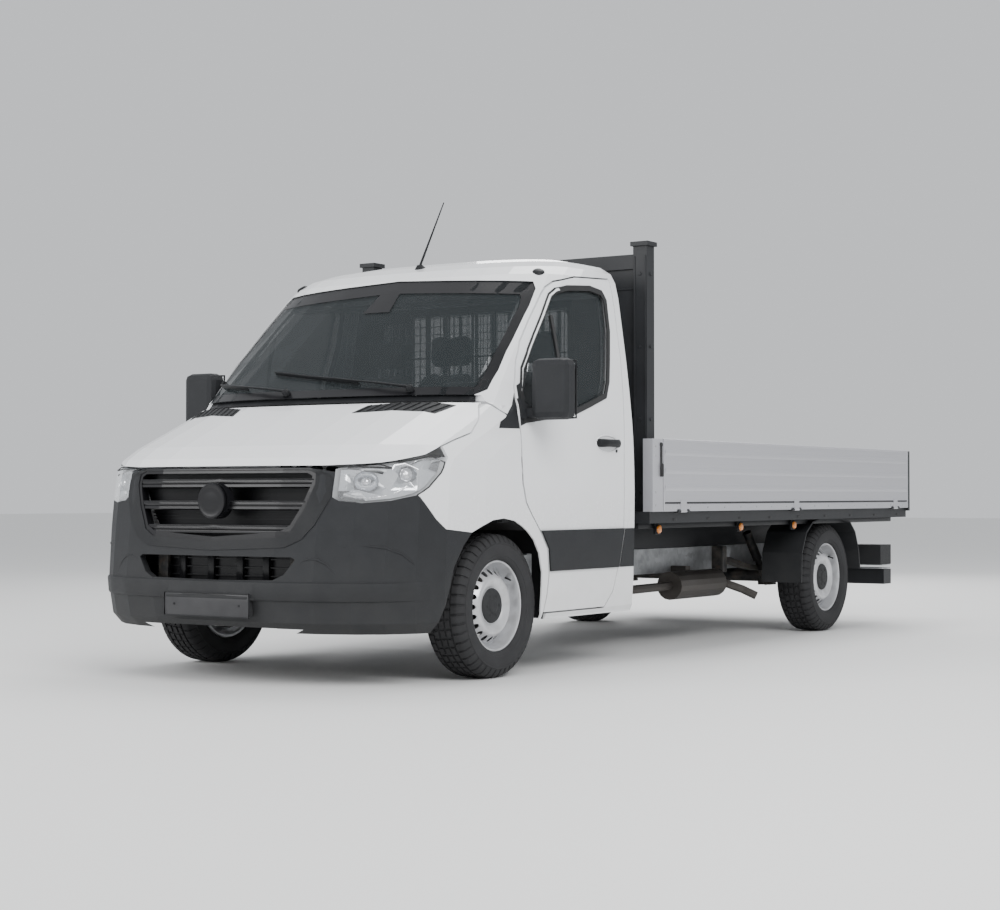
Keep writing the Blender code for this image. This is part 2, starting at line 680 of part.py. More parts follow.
def steering_wheel():
    """Rim, spokes, hub and the column that goes to the dashboard."""
    rim = turned([(STEERING_RADIUS + 0.014 * math.cos(a), 0.014 * math.sin(a))
                  for a in (0, math.pi / 2, math.pi, 3 * math.pi / 2)], (0, 0, 0), "Z", 16)
    hub = cylinder((0, 0, -0.030), (0, 0, 0.012), 0.060, sides=12)
    join(rim, hub, box((-STEERING_RADIUS, -0.015, -0.012), (STEERING_RADIUS, 0.015, 0.006)),
         box((-0.015, -STEERING_RADIUS, -0.012), (0.015, 0.0, 0.006)))
    turn = Matrix.Translation(STEERING_CENTRE) @ Matrix.Rotation(-STEERING_TILT, 4, "X")
    rim.data.transform(turn)
    way = turn.to_3x3() @ Vector((0, 0, -1))
    join(rim, cylinder(STEERING_CENTRE + way * 0.020, STEERING_CENTRE + way * COLUMN_LENGTH,
                       0.024, sides=12))
    return cut(rim, prism(grown(DASH_SIDE, SEAT_GAP), "X", -DASH_HALF, DASH_HALF))


SEAT_SIDE = ((0.560, FLOOR_TOP + SEAT_GAP), (0.960, FLOOR_TOP + SEAT_GAP), (0.960, 0.880),
             (1.040, 0.900), (1.150, 1.560), (1.140, 1.600), (1.060, 1.600), (1.010, 1.380),
             (0.930, SEAT_TOP), (0.500, SEAT_TOP + 0.030), (0.470, 0.970), (0.500, 0.920),
             (0.560, 0.900))
HEADREST = ((1.090, 1.590), (1.160, 1.590), (1.170, 1.790), (1.090, 1.790))
DRIVER_SEAT = (0.230, 0.730)
PASSENGER_SEAT = (-0.750, 0.130)


def seat(span, headrests):
    """A seat with its base, its backrest and its headrests, between two sides."""
    made = prism(SEAT_SIDE, "X", *span)
    for middle in headrests:
        join(made, prism(HEADREST, "X", middle - 0.120, middle + 0.120))
    return made


# Front of the chassis
SUBFRAME_LOW = 0.300
SUBFRAME_HIGH = 0.400
SUBFRAME_X = (0.360, 0.460)
ENGINE = ((-0.400, -0.640, SUBFRAME_HIGH + SEAT_GAP), (0.400, -0.120, 1.000))
RADIATOR = ((-0.400, -0.830, SUBFRAME_HIGH + SEAT_GAP), (0.400, -0.780, 0.960))
ARM_HIGH = 0.2347
STRUT_X = 0.645
STRUT_RADIUS = 0.028
BUMPER_BRACKET_X = (0.380, 0.440)


def front_subframe():
    """Side members, cross members, lower arms and struts of the front axle."""
    made = box((-SUBFRAME_X[0] - 0.010, -0.060, SUBFRAME_LOW - 0.040),
               (SUBFRAME_X[0] + 0.010, 0.080, SUBFRAME_HIGH - 0.010))
    join(made, box((-SUBFRAME_X[0] - 0.010, -0.880, SUBFRAME_LOW),
                   (SUBFRAME_X[0] + 0.010, -0.760, SUBFRAME_HIGH - 0.002)))
    for side in (1, -1):
        ends = sorted((side * SUBFRAME_X[0], side * SUBFRAME_X[1]))
        member = box((ends[0], -0.878, SUBFRAME_LOW + 0.001), (ends[1], 0.420, SUBFRAME_HIGH))
        arm = cylinder((side * (SUBFRAME_X[0] + 0.030), 0.0, 0.330), (side * KINGPIN_X, 0.0, 0.200),
                       0.022, sides=8)
        ball = cylinder((side * KINGPIN_X, 0.0, 0.185), (side * KINGPIN_X, 0.0, ARM_HIGH), 0.026,
                        sides=12)
        strut = cylinder((side * STRUT_X, 0.0, 0.250), (side * STRUT_X, 0.0, WHEELHOUSE_TOP - 0.030
                                                        - SEAT_GAP), STRUT_RADIUS, sides=12)
        ends = sorted((side * BUMPER_BRACKET_X[0], side * BUMPER_BRACKET_X[1]))
        beam = keep(box((ends[0], -1.100, 0.612), (ends[1], -0.858, 0.655)),
                    cab_solid(BUMPER_WALL + SEAT_GAP))
        riser = box((ends[0], -0.876, SUBFRAME_HIGH - 0.010), (ends[1], -0.858, 0.640))
        join(made, member, join(arm, ball), strut, riser, beam)
    return made


KNUCKLE_LOW = ARM_HIGH + SEAT_GAP
HUB_FACE = WHEEL_X + 0.028 - SEAT_GAP
BRAKE_RADIUS = 0.140


def knuckle():
    """The left front knuckle: upright, brake disc and hub on the kingpin's line."""
    upright = box((KINGPIN_X - 0.024, -0.036, KNUCKLE_LOW), (KINGPIN_X + 0.020, 0.036, 0.460))
    disc = cylinder((BRAKE_DISC[0], 0, TYRE_RADIUS), (BRAKE_DISC[1], 0, TYRE_RADIUS),
                    BRAKE_RADIUS, sides=16)
    hub = cylinder((KINGPIN_X, 0, TYRE_RADIUS), (HUB_FACE, 0, TYRE_RADIUS), 0.060, sides=12)
    return join(upright, disc, hub)


# Wheel sections: radius and distance outwards from the wheel's middle
WHEEL_STEPS = 20
RIM_SECTION = (
    (0.0, 0.062), (0.054, 0.060), (0.080, 0.040), (0.112, 0.050), (0.150, 0.048),
    (0.184, 0.018), (0.200, 0.020), (0.208, 0.086), (RIM_RADIUS - SEAT_GAP, 0.086),
    (RIM_RADIUS - SEAT_GAP, -0.100), (0.208, -0.100), (0.205, -0.006), (0.178, 0.006),
    (0.148, 0.036), (0.084, 0.028), (0.0, 0.028),
)
TYRE_SECTION = (
    (RIM_RADIUS, 0.096), (0.236, 0.108), (0.280, 0.116), (0.318, 0.108), (0.342, 0.088),
    (TYRE_RADIUS, 0.056), (TYRE_RADIUS, -0.056), (0.342, -0.088), (0.318, -0.108),
    (0.280, -0.116), (0.236, -0.108), (RIM_RADIUS, -0.096),
)


def wheel_part(section, side, y):
    """A turned wheel piece on one side of an axle."""
    profile = [(radius, side * along) for radius, along in section]
    return turned(profile, (side * WHEEL_X, y, TYRE_RADIUS), "X", WHEEL_STEPS)


# Ladder frame
PAD_TOP_CAB = FLOOR_TOP - FLOOR_THICKNESS - SEAT_GAP
PAD_TOP_DECK = RAIL_BOTTOM - SEAT_GAP
FRAME_LOW = 0.410
FRAME_HIGH = 0.560
FRAME_START = 0.250
CROSS_MEMBERS = (0.900, 1.450, 2.000, 2.550, 3.100, 4.420, 4.980)
BEARERS = (1.450, 2.000, 2.550, 3.100, 3.924, 4.520, 4.980)
CAB_PADS = (0.620, 1.100)
SPRING_HANGERS = (-0.640, 0.640)
SPRING_X = (0.490, 0.560)
SPRING_THICKNESS = 0.030
SPRING_END_TOP = 0.490
SPRING_FLAT = 0.615
SPRING_HALF = 0.680


def chassis_frame():
    """Two rails with cross members, pads under cab and deck, and spring hangers."""
    rails = []
    for side in (1, -1):
        ends = sorted((side * (FRAME_X - FRAME_WIDTH / 2), side * (FRAME_X + FRAME_WIDTH / 2)))
        rail = box((ends[0], FRAME_START, FRAME_LOW), (ends[1], FRAME_REAR, FRAME_HIGH))
        foot = box((ends[0] + 0.004, FRAME_START + 0.010, SUBFRAME_HIGH + SEAT_GAP),
                   (ends[1] - 0.004, 0.400, FRAME_LOW + 0.010))
        join(rail, foot)
        for y in CAB_PADS:
            join(rail, box((ends[0] + 0.006, y - 0.040, FRAME_HIGH - 0.010),
                           (ends[1] - 0.006, y + 0.040, PAD_TOP_CAB)))
        for y in BEARERS:
            join(rail, box((ends[0] + 0.006, y - 0.045, FRAME_HIGH - 0.010),
                           (ends[1] - 0.006, y + 0.045, PAD_TOP_DECK)))
        for shift in SPRING_HANGERS:
            low, high = sorted((side * (FRAME_X + 0.020), side * SPRING_X[1]))
            y = WHEELBASE + shift
            join(rail, box((low, y - 0.030, SPRING_END_TOP + SEAT_GAP), (high, y + 0.030, 0.550)))
        rails.append(rail)
    made = rails[0]
    for y in CROSS_MEMBERS:
        member = box((-FRAME_X, y - 0.030, FRAME_LOW + 0.020), (FRAME_X, y + 0.030,
                                                               FRAME_HIGH - 0.020))
        join(made, member)
    return join(made, rails[1])


def rear_axle():
    """The plain beam, its hubs and the two leaf springs clamped on it."""
    made = cylinder((-HUB_FACE, WHEELBASE, TYRE_RADIUS), (HUB_FACE, WHEELBASE, TYRE_RADIUS),
                    AXLE_RADIUS, sides=12)
    middle = TYRE_RADIUS + AXLE_RADIUS - 0.006
    ends = SPRING_END_TOP - SPRING_THICKNESS
    for side in (1, -1):
        steps = [i / 3 for i in range(-3, 4)]
        lower = [(WHEELBASE + SPRING_FLAT * t, middle + (ends - middle) * t * t) for t in steps]
        lower = [(WHEELBASE - SPRING_HALF, ends)] + lower + [(WHEELBASE + SPRING_HALF, ends)]
        upper = [(y, z + SPRING_THICKNESS) for y, z in reversed(lower)]
        low, high = sorted((side * SPRING_X[0], side * SPRING_X[1]))
        spring = prism(lower + upper, "X", low, high)
        clamp = box((low - 0.008, WHEELBASE - 0.050, TYRE_RADIUS - 0.060),
                    (high + 0.008, WHEELBASE + 0.050, middle + SPRING_THICKNESS + 0.016))
        disc = cylinder((side * BRAKE_DISC[0], WHEELBASE, TYRE_RADIUS),
                        (side * BRAKE_DISC[1], WHEELBASE, TYRE_RADIUS), BRAKE_RADIUS, sides=16)
        hub = cylinder((side * 0.700, WHEELBASE, TYRE_RADIUS),
                       (side * HUB_FACE, WHEELBASE, TYRE_RADIUS), 0.060, sides=12)
        join(made, clamp, spring, join(hub, disc))
    return made


SILENCER_X = 0.580
SILENCER_Z = 0.340
SILENCER = (2.450, 3.050)
SILENCER_RADIUS = 0.085
PIPE_RADIUS = 0.026


def exhaust():
    """Pipe, silencer, tail pipe and the hanger against the frame rail."""
    can = cylinder((SILENCER_X, SILENCER[0], SILENCER_Z), (SILENCER_X, SILENCER[1], SILENCER_Z),
                   SILENCER_RADIUS, sides=16)
    front = tube(((0.520, 0.560, 0.340), (0.560, 0.900, 0.330), (SILENCER_X, 1.400, 0.330),
                  (SILENCER_X, SILENCER[0] + 0.020, SILENCER_Z)), PIPE_RADIUS)
    rear = tube(((SILENCER_X, SILENCER[1] - 0.020, SILENCER_Z), (0.600, 3.160, 0.330),
                 (0.680, 3.240, 0.290), (0.760, 3.270, 0.250)), PIPE_RADIUS)
    hanger = box((FRAME_X + FRAME_WIDTH / 2 + SEAT_GAP, 2.700, 0.380), (0.560, 2.760, 0.450))
    return join(can, front, rear, hanger)


def fuel_tank():
    """The tank, against the right frame rail."""
    made = box((-0.830, 1.500, 0.300), (-(FRAME_X + FRAME_WIDTH / 2 + SEAT_GAP), 2.350, 0.540))
    bm = bmesh.new()
    bm.from_mesh(made.data)
    along = [e for e in bm.edges if abs(e.verts[0].co.y - e.verts[1].co.y) > 0.1
             and e.verts[0].co.x < -0.6]
    bmesh.ops.bevel(bm, geom=along, offset=0.050, segments=3, profile=0.5, affect="EDGES")
    bm.to_mesh(made.data)
    bm.free()
    return made


GUARD_INNER = 0.715
GUARD_OUTER = 0.990
GUARD_WALL = 0.010
GUARD_SIDE = ((-0.480, 0.330), (-0.470, 0.520), (-0.400, 0.650), (-0.300, 0.715), (-0.180, 0.7305),
              (0.180, 0.7305), (0.300, 0.712), (0.390, 0.640), (0.450, 0.520), (0.475, 0.390))


def mudguard():
    """The left rear mudguard: a bent sheet that hangs under the deck."""
    outer = [(WHEELBASE + y, z) for y, z in GUARD_SIDE]
    whole = grown(outer, 0.0)
    inner = grown(outer, -GUARD_WALL)
    inner[0] = (outer[0][0] + GUARD_WALL, outer[0][1] - 0.05)
    inner[-1] = (outer[-1][0] - GUARD_WALL, outer[-1][1] - 0.05)
    made = prism(whole, "X", GUARD_INNER, GUARD_OUTER)
    low = [(inner[-1][0], 0.2), (inner[0][0], 0.2)]
    return cut(made, prism(inner + low, "X", GUARD_INNER - 0.1, GUARD_OUTER + 0.1))


LAMP_UNIT = ((0.620, 4.800, 0.405), (0.970, 4.990, 0.540))
UNDERRUN = ((-0.970, 4.860, 0.268), (0.970, 4.990, 0.370))


def underrun_bar():
    """The bar behind the wheels, its brackets on the rails and the lamps' carriers."""
    made = box(*UNDERRUN)
    for side in (1, -1):
        ends = sorted((side * 0.470, side * 0.520))
        bracket = box((ends[0], 4.880, 0.300), (ends[1], 4.980, 0.520))
        ends = sorted((side * (FRAME_X + FRAME_WIDTH / 2 + SEAT_GAP), side * 0.480))
        foot = box((ends[0], 4.884, 0.430), (ends[1], 4.976, 0.510))
        ends = sorted((side * 0.510, side * (LAMP_UNIT[0][0] - SEAT_GAP)))
        carrier = box((ends[0], 4.888, 0.450), (ends[1], 4.972, 0.500))
        join(made, bracket, foot, carrier)
    return made


# Dropside platform
BOARD_BOTTOM = DECK_TOP + SEAT_GAP
BOARD_AXIS_Z = DECK_TOP
SIDE_BOARD = (1.488, 5.083)
TAIL_OUTER = 5.1205
TAIL_HALF = 0.9945
BOARD_PIN_RADIUS = 0.007
BOARD_KNUCKLE = 0.035
BOARD_EAR = 0.070
SIDE_HINGES = (1.720, 3.220, 4.850)
TAIL_HINGES = (-0.720, 0.720)
CORNER_POST_INNER = 0.9995
# Board section: depth from its outer face, height from its foot
BOARD_SECTION = (
    (0.000, 0.000), (0.000, 0.040), (0.004, 0.042), (0.004, 0.050), (0.000, 0.052),
    (0.000, 0.118), (0.005, 0.124), (0.005, 0.140), (0.000, 0.146), (0.000, 0.212),
    (0.005, 0.218), (0.005, 0.234), (0.000, 0.240), (0.000, 0.312), (0.005, 0.318),
    (0.005, 0.334), (0.000, 0.340), (0.000, BOARD_TOP - BOARD_BOTTOM),
    (BOARD_THICKNESS, BOARD_TOP - BOARD_BOTTOM), (BOARD_THICKNESS, 0.000),
)


def side_hinge(y):
    """The left board's knuckle and the rail's two ears at one hinge."""
    x, z = BOARD_OUTER, BOARD_AXIS_Z
    knuckle_bar = cylinder((x, y - BOARD_KNUCKLE, z), (x, y + BOARD_KNUCKLE, z), BOARD_PIN_RADIUS,
                           sides=8)
    leaf = box((x - 0.005, y - BOARD_KNUCKLE, z), (x + 0.0035, y + BOARD_KNUCKLE, z + 0.060))
    ears = []
    for side in (1, -1):
        low, high = sorted((y + side * (BOARD_KNUCKLE + HINGE_GAP), y + side * BOARD_EAR))
        pin = cylinder((x, low, z), (x, high, z), BOARD_PIN_RADIUS, sides=8)
        foot = box((RAIL_OUTER - 0.010, low, z - 0.006), (x, high, z - 0.001))
        ears.append(join(pin, foot))
    return join(knuckle_bar, leaf), ears


def tail_hinge(x):
    """The tailboard's knuckle and the rear rail's two ears at one hinge."""
    y, z = TAIL_OUTER, BOARD_AXIS_Z
    knuckle_bar = cylinder((x - BOARD_KNUCKLE, y, z), (x + BOARD_KNUCKLE, y, z), BOARD_PIN_RADIUS,
                           sides=8)
    leaf = box((x - BOARD_KNUCKLE, y - 0.005, z), (x + BOARD_KNUCKLE, y + 0.0035, z + 0.060))
    ears = []
    for side in (1, -1):
        low, high = sorted((x + side * (BOARD_KNUCKLE + HINGE_GAP), x + side * BOARD_EAR))
        pin = cylinder((low, y, z), (high, y, z), BOARD_PIN_RADIUS, sides=8)
        foot = box((low, DECK_REAR - 0.010, z - 0.006), (high, y, z - 0.001))
        ears.append(join(pin, foot))
    return join(knuckle_bar, leaf), ears


def side_board():
    """The left dropside: a ribbed board with its hinge knuckles."""
    section = [(BOARD_OUTER - depth, BOARD_BOTTOM + height) for depth, height in BOARD_SECTION]
    made = prism(section, "Y", *SIDE_BOARD)
    for y in SIDE_HINGES:
        cut(made, box((BOARD_OUTER - 0.014, y - BOARD_EAR - 0.003, BOARD_BOTTOM - 0.02),
                      (BOARD_OUTER + 0.02, y + BOARD_EAR + 0.003, BOARD_AXIS_Z + 0.012)))
        knuckle_bar, ears = side_hinge(y)
        for ear in ears:
            bpy.data.objects.remove(ear)
        join(made, knuckle_bar)
    return made


def tailboard():
    """The rear dropside."""
    section = [(TAIL_OUTER - depth, BOARD_BOTTOM + height) for depth, height in BOARD_SECTION]
    made = prism(section, "X", -TAIL_HALF, TAIL_HALF)
    for x in TAIL_HINGES:
        cut(made, box((x - BOARD_EAR - 0.003, TAIL_OUTER - 0.014, BOARD_BOTTOM - 0.02),
                      (x + BOARD_EAR + 0.003, TAIL_OUTER + 0.02, BOARD_AXIS_Z + 0.012)))
        knuckle_bar, ears = tail_hinge(x)
        for ear in ears:
            bpy.data.objects.remove(ear)
        join(made, knuckle_bar)
    return made


def deck():
    """The load floor with its edge rails, cross bearers, hinge ears and rear posts."""
    made = box((-RAIL_OUTER, DECK_FRONT, DECK_TOP - DECK_THICKNESS), (RAIL_OUTER, DECK_REAR,
                                                                      DECK_TOP))
    for side in (1, -1):
        ends = sorted((side * (RAIL_OUTER - 0.050), side * RAIL_OUTER))
        join(made, box((ends[0], DECK_FRONT, RAIL_BOTTOM), (ends[1], DECK_REAR,
                                                            DECK_TOP - 0.010)))
    for y in (DECK_FRONT, DECK_REAR - 0.050):
        join(made, box((-RAIL_OUTER + 0.010, y, RAIL_BOTTOM), (RAIL_OUTER - 0.010, y + 0.050,
                                                               DECK_TOP - 0.010)))
    for y in BEARERS:
        join(made, box((-RAIL_OUTER + 0.020, y - 0.030, RAIL_BOTTOM),
                       (RAIL_OUTER - 0.020, y + 0.030, DECK_TOP - 0.010)))
    for y in SIDE_HINGES:
        knuckle_bar, ears = side_hinge(y)
        bpy.data.objects.remove(knuckle_bar)
        for ear in ears:
            other = mirrored(ear)
            join(made, ear, other)
    for x in TAIL_HINGES:
        knuckle_bar, ears = tail_hinge(x)
        bpy.data.objects.remove(knuckle_bar)
        join(made, *ears)
    for side in (1, -1):
        ends = sorted((side * CORNER_POST_INNER, side * BOARD_OUTER))
        join(made, box((ends[0], SIDE_BOARD[1] + 0.005, DECK_TOP - 0.020),
                       (ends[1], TAIL_OUTER, BOARD_TOP)))
    return made


LOAD_FLOOR = ((-0.985, 1.560, DECK_TOP + SEAT_GAP), (0.985, 5.060, DECK_TOP + 0.0123))


def corner_post():
    """The left front corner post that the board latches to."""
    return box((CORNER_POST_INNER, DECK_FRONT + 0.001, BOARD_BOTTOM),
               (BOARD_OUTER, DECK_FRONT + CORNER_POST_LENGTH - 0.003, BOARD_TOP))


PANEL_FRONT = POST_FRONT + 0.020
PANEL_THICKNESS = 0.030
MESH_HALF = 0.620
MESH_LOW = 1.420
MESH_HIGH = 1.940
MESH_BARS = 10
BEAM = (2.130, 2.200)


def headboard():
    """The front wall of the platform: panel, top beam, two posts and a barred window."""
    panel_top = BEAM[1]
    made = box((-POST_OUTER + 0.010, PANEL_FRONT, BOARD_BOTTOM),
               (POST_OUTER - 0.010, PANEL_FRONT + PANEL_THICKNESS, panel_top))
    cut(made, box((-MESH_HALF, 1.2, MESH_LOW), (MESH_HALF, 1.8, MESH_HIGH)))
    join(made, box((-POST_OUTER + 0.010, POST_FRONT + 0.005, BEAM[0]),
                   (POST_OUTER - 0.010, POST_FRONT + POST_WIDTH - 0.010, BEAM[1] + 0.010)))
    for side in (1, -1):
        ends = sorted((side * (POST_OUTER - POST_WIDTH), side * POST_OUTER))
        post = box((ends[0], POST_FRONT, BOARD_BOTTOM), (ends[1], POST_FRONT + POST_WIDTH,
                                                         POST_TOP - 0.020))
        cap = box((ends[0] - 0.012, POST_FRONT - 0.012, POST_TOP - 0.024),
                  (ends[1] + 0.012, POST_FRONT + POST_WIDTH + 0.012, POST_TOP))
        join(made, post, cap)
    for i in range(MESH_BARS):
        x = -MESH_HALF + 2 * MESH_HALF * (i + 1) / (MESH_BARS + 1)
        join(made, box((x - 0.008, PANEL_FRONT + 0.008, MESH_LOW - 0.010),
                       (x + 0.008, PANEL_FRONT + 0.022, MESH_HIGH + 0.010)))
    return made


FENDER_TAB = ((0.9553, 0.045, 0.800), (1.007, 0.095, 0.860))


def fender():
    """The left fender, with the tab that bolts it to the pillar."""
    made = skin_piece(grown(FENDER_OUTLINE, -PANEL_GAP / 3), FENDER_WALL)
    return join(made, box(*FENDER_TAB))


# Where each joint's axis passes
JOINTS = {
    "truck": (0.0, 0.0, 0.0),
    "steer_left": (KINGPIN_X, 0.0, TYRE_RADIUS),
    "steer_right": (-KINGPIN_X, 0.0, TYRE_RADIUS),
    "front_wheel_left": (WHEEL_X, 0.0, TYRE_RADIUS),
    "front_wheel_right": (-WHEEL_X, 0.0, TYRE_RADIUS),
    "rear_wheel_left": (WHEEL_X, WHEELBASE, TYRE_RADIUS),
    "rear_wheel_right": (-WHEEL_X, WHEELBASE, TYRE_RADIUS),
    "door_left": (DOOR_AXIS_X, DOOR_AXIS_Y, 1.0),
    "door_right": (-DOOR_AXIS_X, DOOR_AXIS_Y, 1.0),
    "bonnet": (0.0, BONNET_AXIS_Y, BONNET_AXIS_Z),
    "side_board_left": (BOARD_OUTER, SIDE_BOARD[0], BOARD_AXIS_Z),
    "side_board_right": (-BOARD_OUTER, SIDE_BOARD[0], BOARD_AXIS_Z),
    "tailboard": (0.0, TAIL_OUTER, BOARD_AXIS_Z),
}
SHARP_ANGLE = math.radians(35)


def build():
    """Make every piece, name it and hang it on its joint's empty."""
    for old in list(bpy.data.objects):
        bpy.data.objects.remove(old)
    parts = new_collection("flatbed_truck")
    root = bpy.data.objects.new("truck_on_ground", None)
    root.location = (0.0, -(PLATE_FRONT + TAIL_OUTER + BOARD_PIN_RADIUS) / 2, 0.0)
    parts.objects.link(root)
    empties = {}
    for name, place in JOINTS.items():
        empty = bpy.data.objects.new(name + "_axis", None)
        empty.location = place
        empty.parent = root
        parts.objects.link(empty)
        empties[name] = empty
    paints = {
        "paint": material("paint", PAINT, 0.25),
        "plastic": material("plastic", PLASTIC, 0.6),
        "glass": material("glass", GLASS, 0.05),
        "aluminium": material("aluminium", ALUMINIUM, 0.35, 0.8),
        "dark_steel": material("dark_steel", DARK_STEEL, 0.45, 0.2),
        "galvanised": material("galvanised", GALVANISED, 0.5, 0.7),
        "rubber": material("rubber", RUBBER, 0.85),
        "silver": material("silver", SILVER, 0.3, 0.7),
        "fabric": material("fabric", FABRIC, 0.9),
        "lamp": material("lamp", LAMP, 0.1),
        "lamp_red": material("lamp_red", LAMP_RED, 0.2),
        "floor_board": material("floor_board", FLOOR_BOARD, 0.6),
    }

    def add(name, piece, paint, joint="truck"):
        """Name a piece, give it its paint and put its origin on its joint."""
        piece.name = name
        piece.data.name = name
        piece.data.materials.clear()
        piece.data.materials.append(paints[paint])
        piece.data.shade_smooth()
        piece.data.set_sharp_from_angle(angle=SHARP_ANGLE)
        piece.data.transform(Matrix.Translation(-Vector(JOINTS[joint])))
        piece.parent = empties[joint]
        bpy.context.scene.collection.objects.unlink(piece)
        parts.objects.link(piece)
        return piece

    add("cab_shell", cab_shell(), "paint")
    add("bonnet", bonnet(), "paint", "bonnet")
    add("front_bumper", front_bumper(), "plastic")
    add("grille", grille(), "plastic")
    add("scuttle_panel", scuttle_panel(), "plastic")
    add("windscreen", windscreen(), "glass")
    add("rear_window", rear_window(), "glass")
    add("partition_guard", partition_guard(), "dark_steel")
    add("aerial", aerial(), "plastic")
    add("dashboard", dashboard(), "plastic")
    add("steering_wheel", steering_wheel(), "plastic")
    add("driver_seat", seat(DRIVER_SEAT, (0.480,)), "fabric")
    add("passenger_seat", seat(PASSENGER_SEAT, (-0.550, -0.110)), "fabric")
    add("engine_block", box(*ENGINE), "dark_steel")
    add("radiator", box(*RADIATOR), "dark_steel")
    add("front_subframe", front_subframe(), "dark_steel")
    add("chassis_frame", chassis_frame(), "galvanised")
    add("rear_axle", rear_axle(), "dark_steel")
    add("exhaust", exhaust(), "galvanised")
    add("fuel_tank", fuel_tank(), "plastic")
    add("underrun_bar", underrun_bar(), "dark_steel")
    add("deck", deck(), "dark_steel")
    add("load_floor", box(*LOAD_FLOOR), "floor_board")
    add("headboard", headboard(), "dark_steel")
    add("tailboard", tailboard(), "aluminium", "tailboard")
    pairs = (
        ("fender", fender, "paint", ""),
        ("door", door, "paint", "door"),
        ("door_glass", door_glass, "glass", "door"),
        ("door_cladding", cladding, "plastic", "door"),
        ("mirror", mirror, "plastic", "door"),
        ("headlamp", headlamp, "lamp", ""),
        ("knuckle", knuckle, "dark_steel", "steer"),
        ("mudguard", mudguard, "plastic", ""),
        ("tail_lamp", lambda: box(*LAMP_UNIT), "lamp_red", ""),
        ("side_board", side_board, "aluminium", "side_board"),
        ("corner_post", corner_post, "aluminium", ""),
    )
    for name, make, paint, joint in pairs:
        left = make()
        right = mirrored(left)
        add(name + "_left", left, paint, joint + "_left" if joint else "truck")
        add(name + "_right", right, paint, joint + "_right" if joint else "truck")
    for axle, y in (("front", 0.0), ("rear", WHEELBASE)):
        for name, side in (("left", 1), ("right", -1)):
            joint = f"{axle}_wheel_{name}"
            add(f"{axle}_rim_{name}", wheel_part(RIM_SECTION, side, y), "silver", joint)
            add(f"{axle}_tyre_{name}", wheel_part(TYRE_SECTION, side, y), "rubber", joint)


build()
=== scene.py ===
"""Looks of a light flatbed truck with a single cab and drop boards, laid over its CAD frame."""
import math

import bmesh
import bpy
from mathutils import Matrix, Vector
from mathutils.bvhtree import BVHTree


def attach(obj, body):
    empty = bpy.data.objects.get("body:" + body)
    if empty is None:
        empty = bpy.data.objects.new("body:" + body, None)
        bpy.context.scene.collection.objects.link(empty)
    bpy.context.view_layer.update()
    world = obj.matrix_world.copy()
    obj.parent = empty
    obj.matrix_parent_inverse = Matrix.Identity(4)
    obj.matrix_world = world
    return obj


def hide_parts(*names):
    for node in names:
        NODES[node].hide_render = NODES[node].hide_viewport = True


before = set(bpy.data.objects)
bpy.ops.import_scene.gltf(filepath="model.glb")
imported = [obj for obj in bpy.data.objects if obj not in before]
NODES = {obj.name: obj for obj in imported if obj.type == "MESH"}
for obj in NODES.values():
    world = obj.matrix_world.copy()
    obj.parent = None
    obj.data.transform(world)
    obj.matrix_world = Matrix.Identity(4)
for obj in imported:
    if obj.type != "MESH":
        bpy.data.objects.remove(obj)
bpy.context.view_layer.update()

bl_info = {
    "name": "Flatbed truck looks",
    "version": (1, 0, 0),
    "blender": (4, 5, 0),
    "location": "View3D > Sidebar > Flatbed",
    "description": "Finishes and fine pieces of a light flatbed truck",
    "category": "Object",
}

SIDES = (("left", 1), ("right", -1))

# Places are in metres. Outlines give (along, up) behind the front axle, or (across, up).
SHIFT = -2.0535  # the front axle's place along the truck
WHEELBASE = 3.924
WHEEL_SIDE = .856  # from the middle of the truck to the middle of a tyre
TYRE_RADIUS = .350
AXLES = (("front", 0.0), ("rear", WHEELBASE))
BOARD_FACE = 1.0595
BOARD_FRONT, BOARD_REAR = -.565, 3.030
TAIL_FACE, TAIL_HALF = 3.067, .982
MARKER_FACE, MARKER_HEIGHT = .978, .697
MARKERS_ALONG = (1.580, 2.600, 3.355)
PLATE_FACE, PLATE_MIDDLE = -3.0735, .375
BELT_CENTRE = -2.42  # what the bumper's belt bends round
GRILLE_SCREEN, INLET_SCREEN = -2.897, -2.890
DIVIDER_PLACE = .560
HANDLE_PLACE, HANDLE_HEIGHT = .968, 1.157
MIRROR_GLASS = -1.7695

# The photograph's camera; outlines that use pixels are cast from it.
CAMERA_PLACE = Vector((6.09556, -9.91246, .88980))
CAMERA_TURN = (math.radians(33.1329), math.radians(-1.15853))
CAMERA_LENS, SENSOR_WIDTH = 69.81, 36.0
FOCAL_PIXELS = 1939.18
PHOTO_MIDDLE = (500, 455)

# Half outlines across the front, from the middle outwards.
GRILLE_HALF = [(0, .665), (.390, .690), (.455, .722), (.514, .826), (.555, .936),
               (.550, .991), (.505, 1.014), (0, 1.014)]
GLASS_HALF = [(0, 1.3712), (.850, 1.3712), (.882, 1.400), (.881, 1.500), (.868, 1.645),
              (.845, 1.850), (.826, 1.945), (.795, 1.985), (0, 2.025)]

# Closed (along, up) outlines on the side.
DOOR_WINDOW = [(.185, 1.255), (.195, 1.400), (.245, 1.510), (.324, 1.610), (.595, 1.906),
               (.641, 1.935), (.736, 1.956), (.960, 1.974), (1.070, 1.960), (1.098, 1.920),
               (1.092, 1.760), (1.025, 1.489), (.982, 1.409), (.799, 1.353), (.658, 1.313)]
LAMP_EDGE = [(-.862, 1.004), (-.750, 1.023), (-.570, 1.062), (-.468, 1.062),
             (-.512, .989), (-.582, .923), (-.643, .886)]

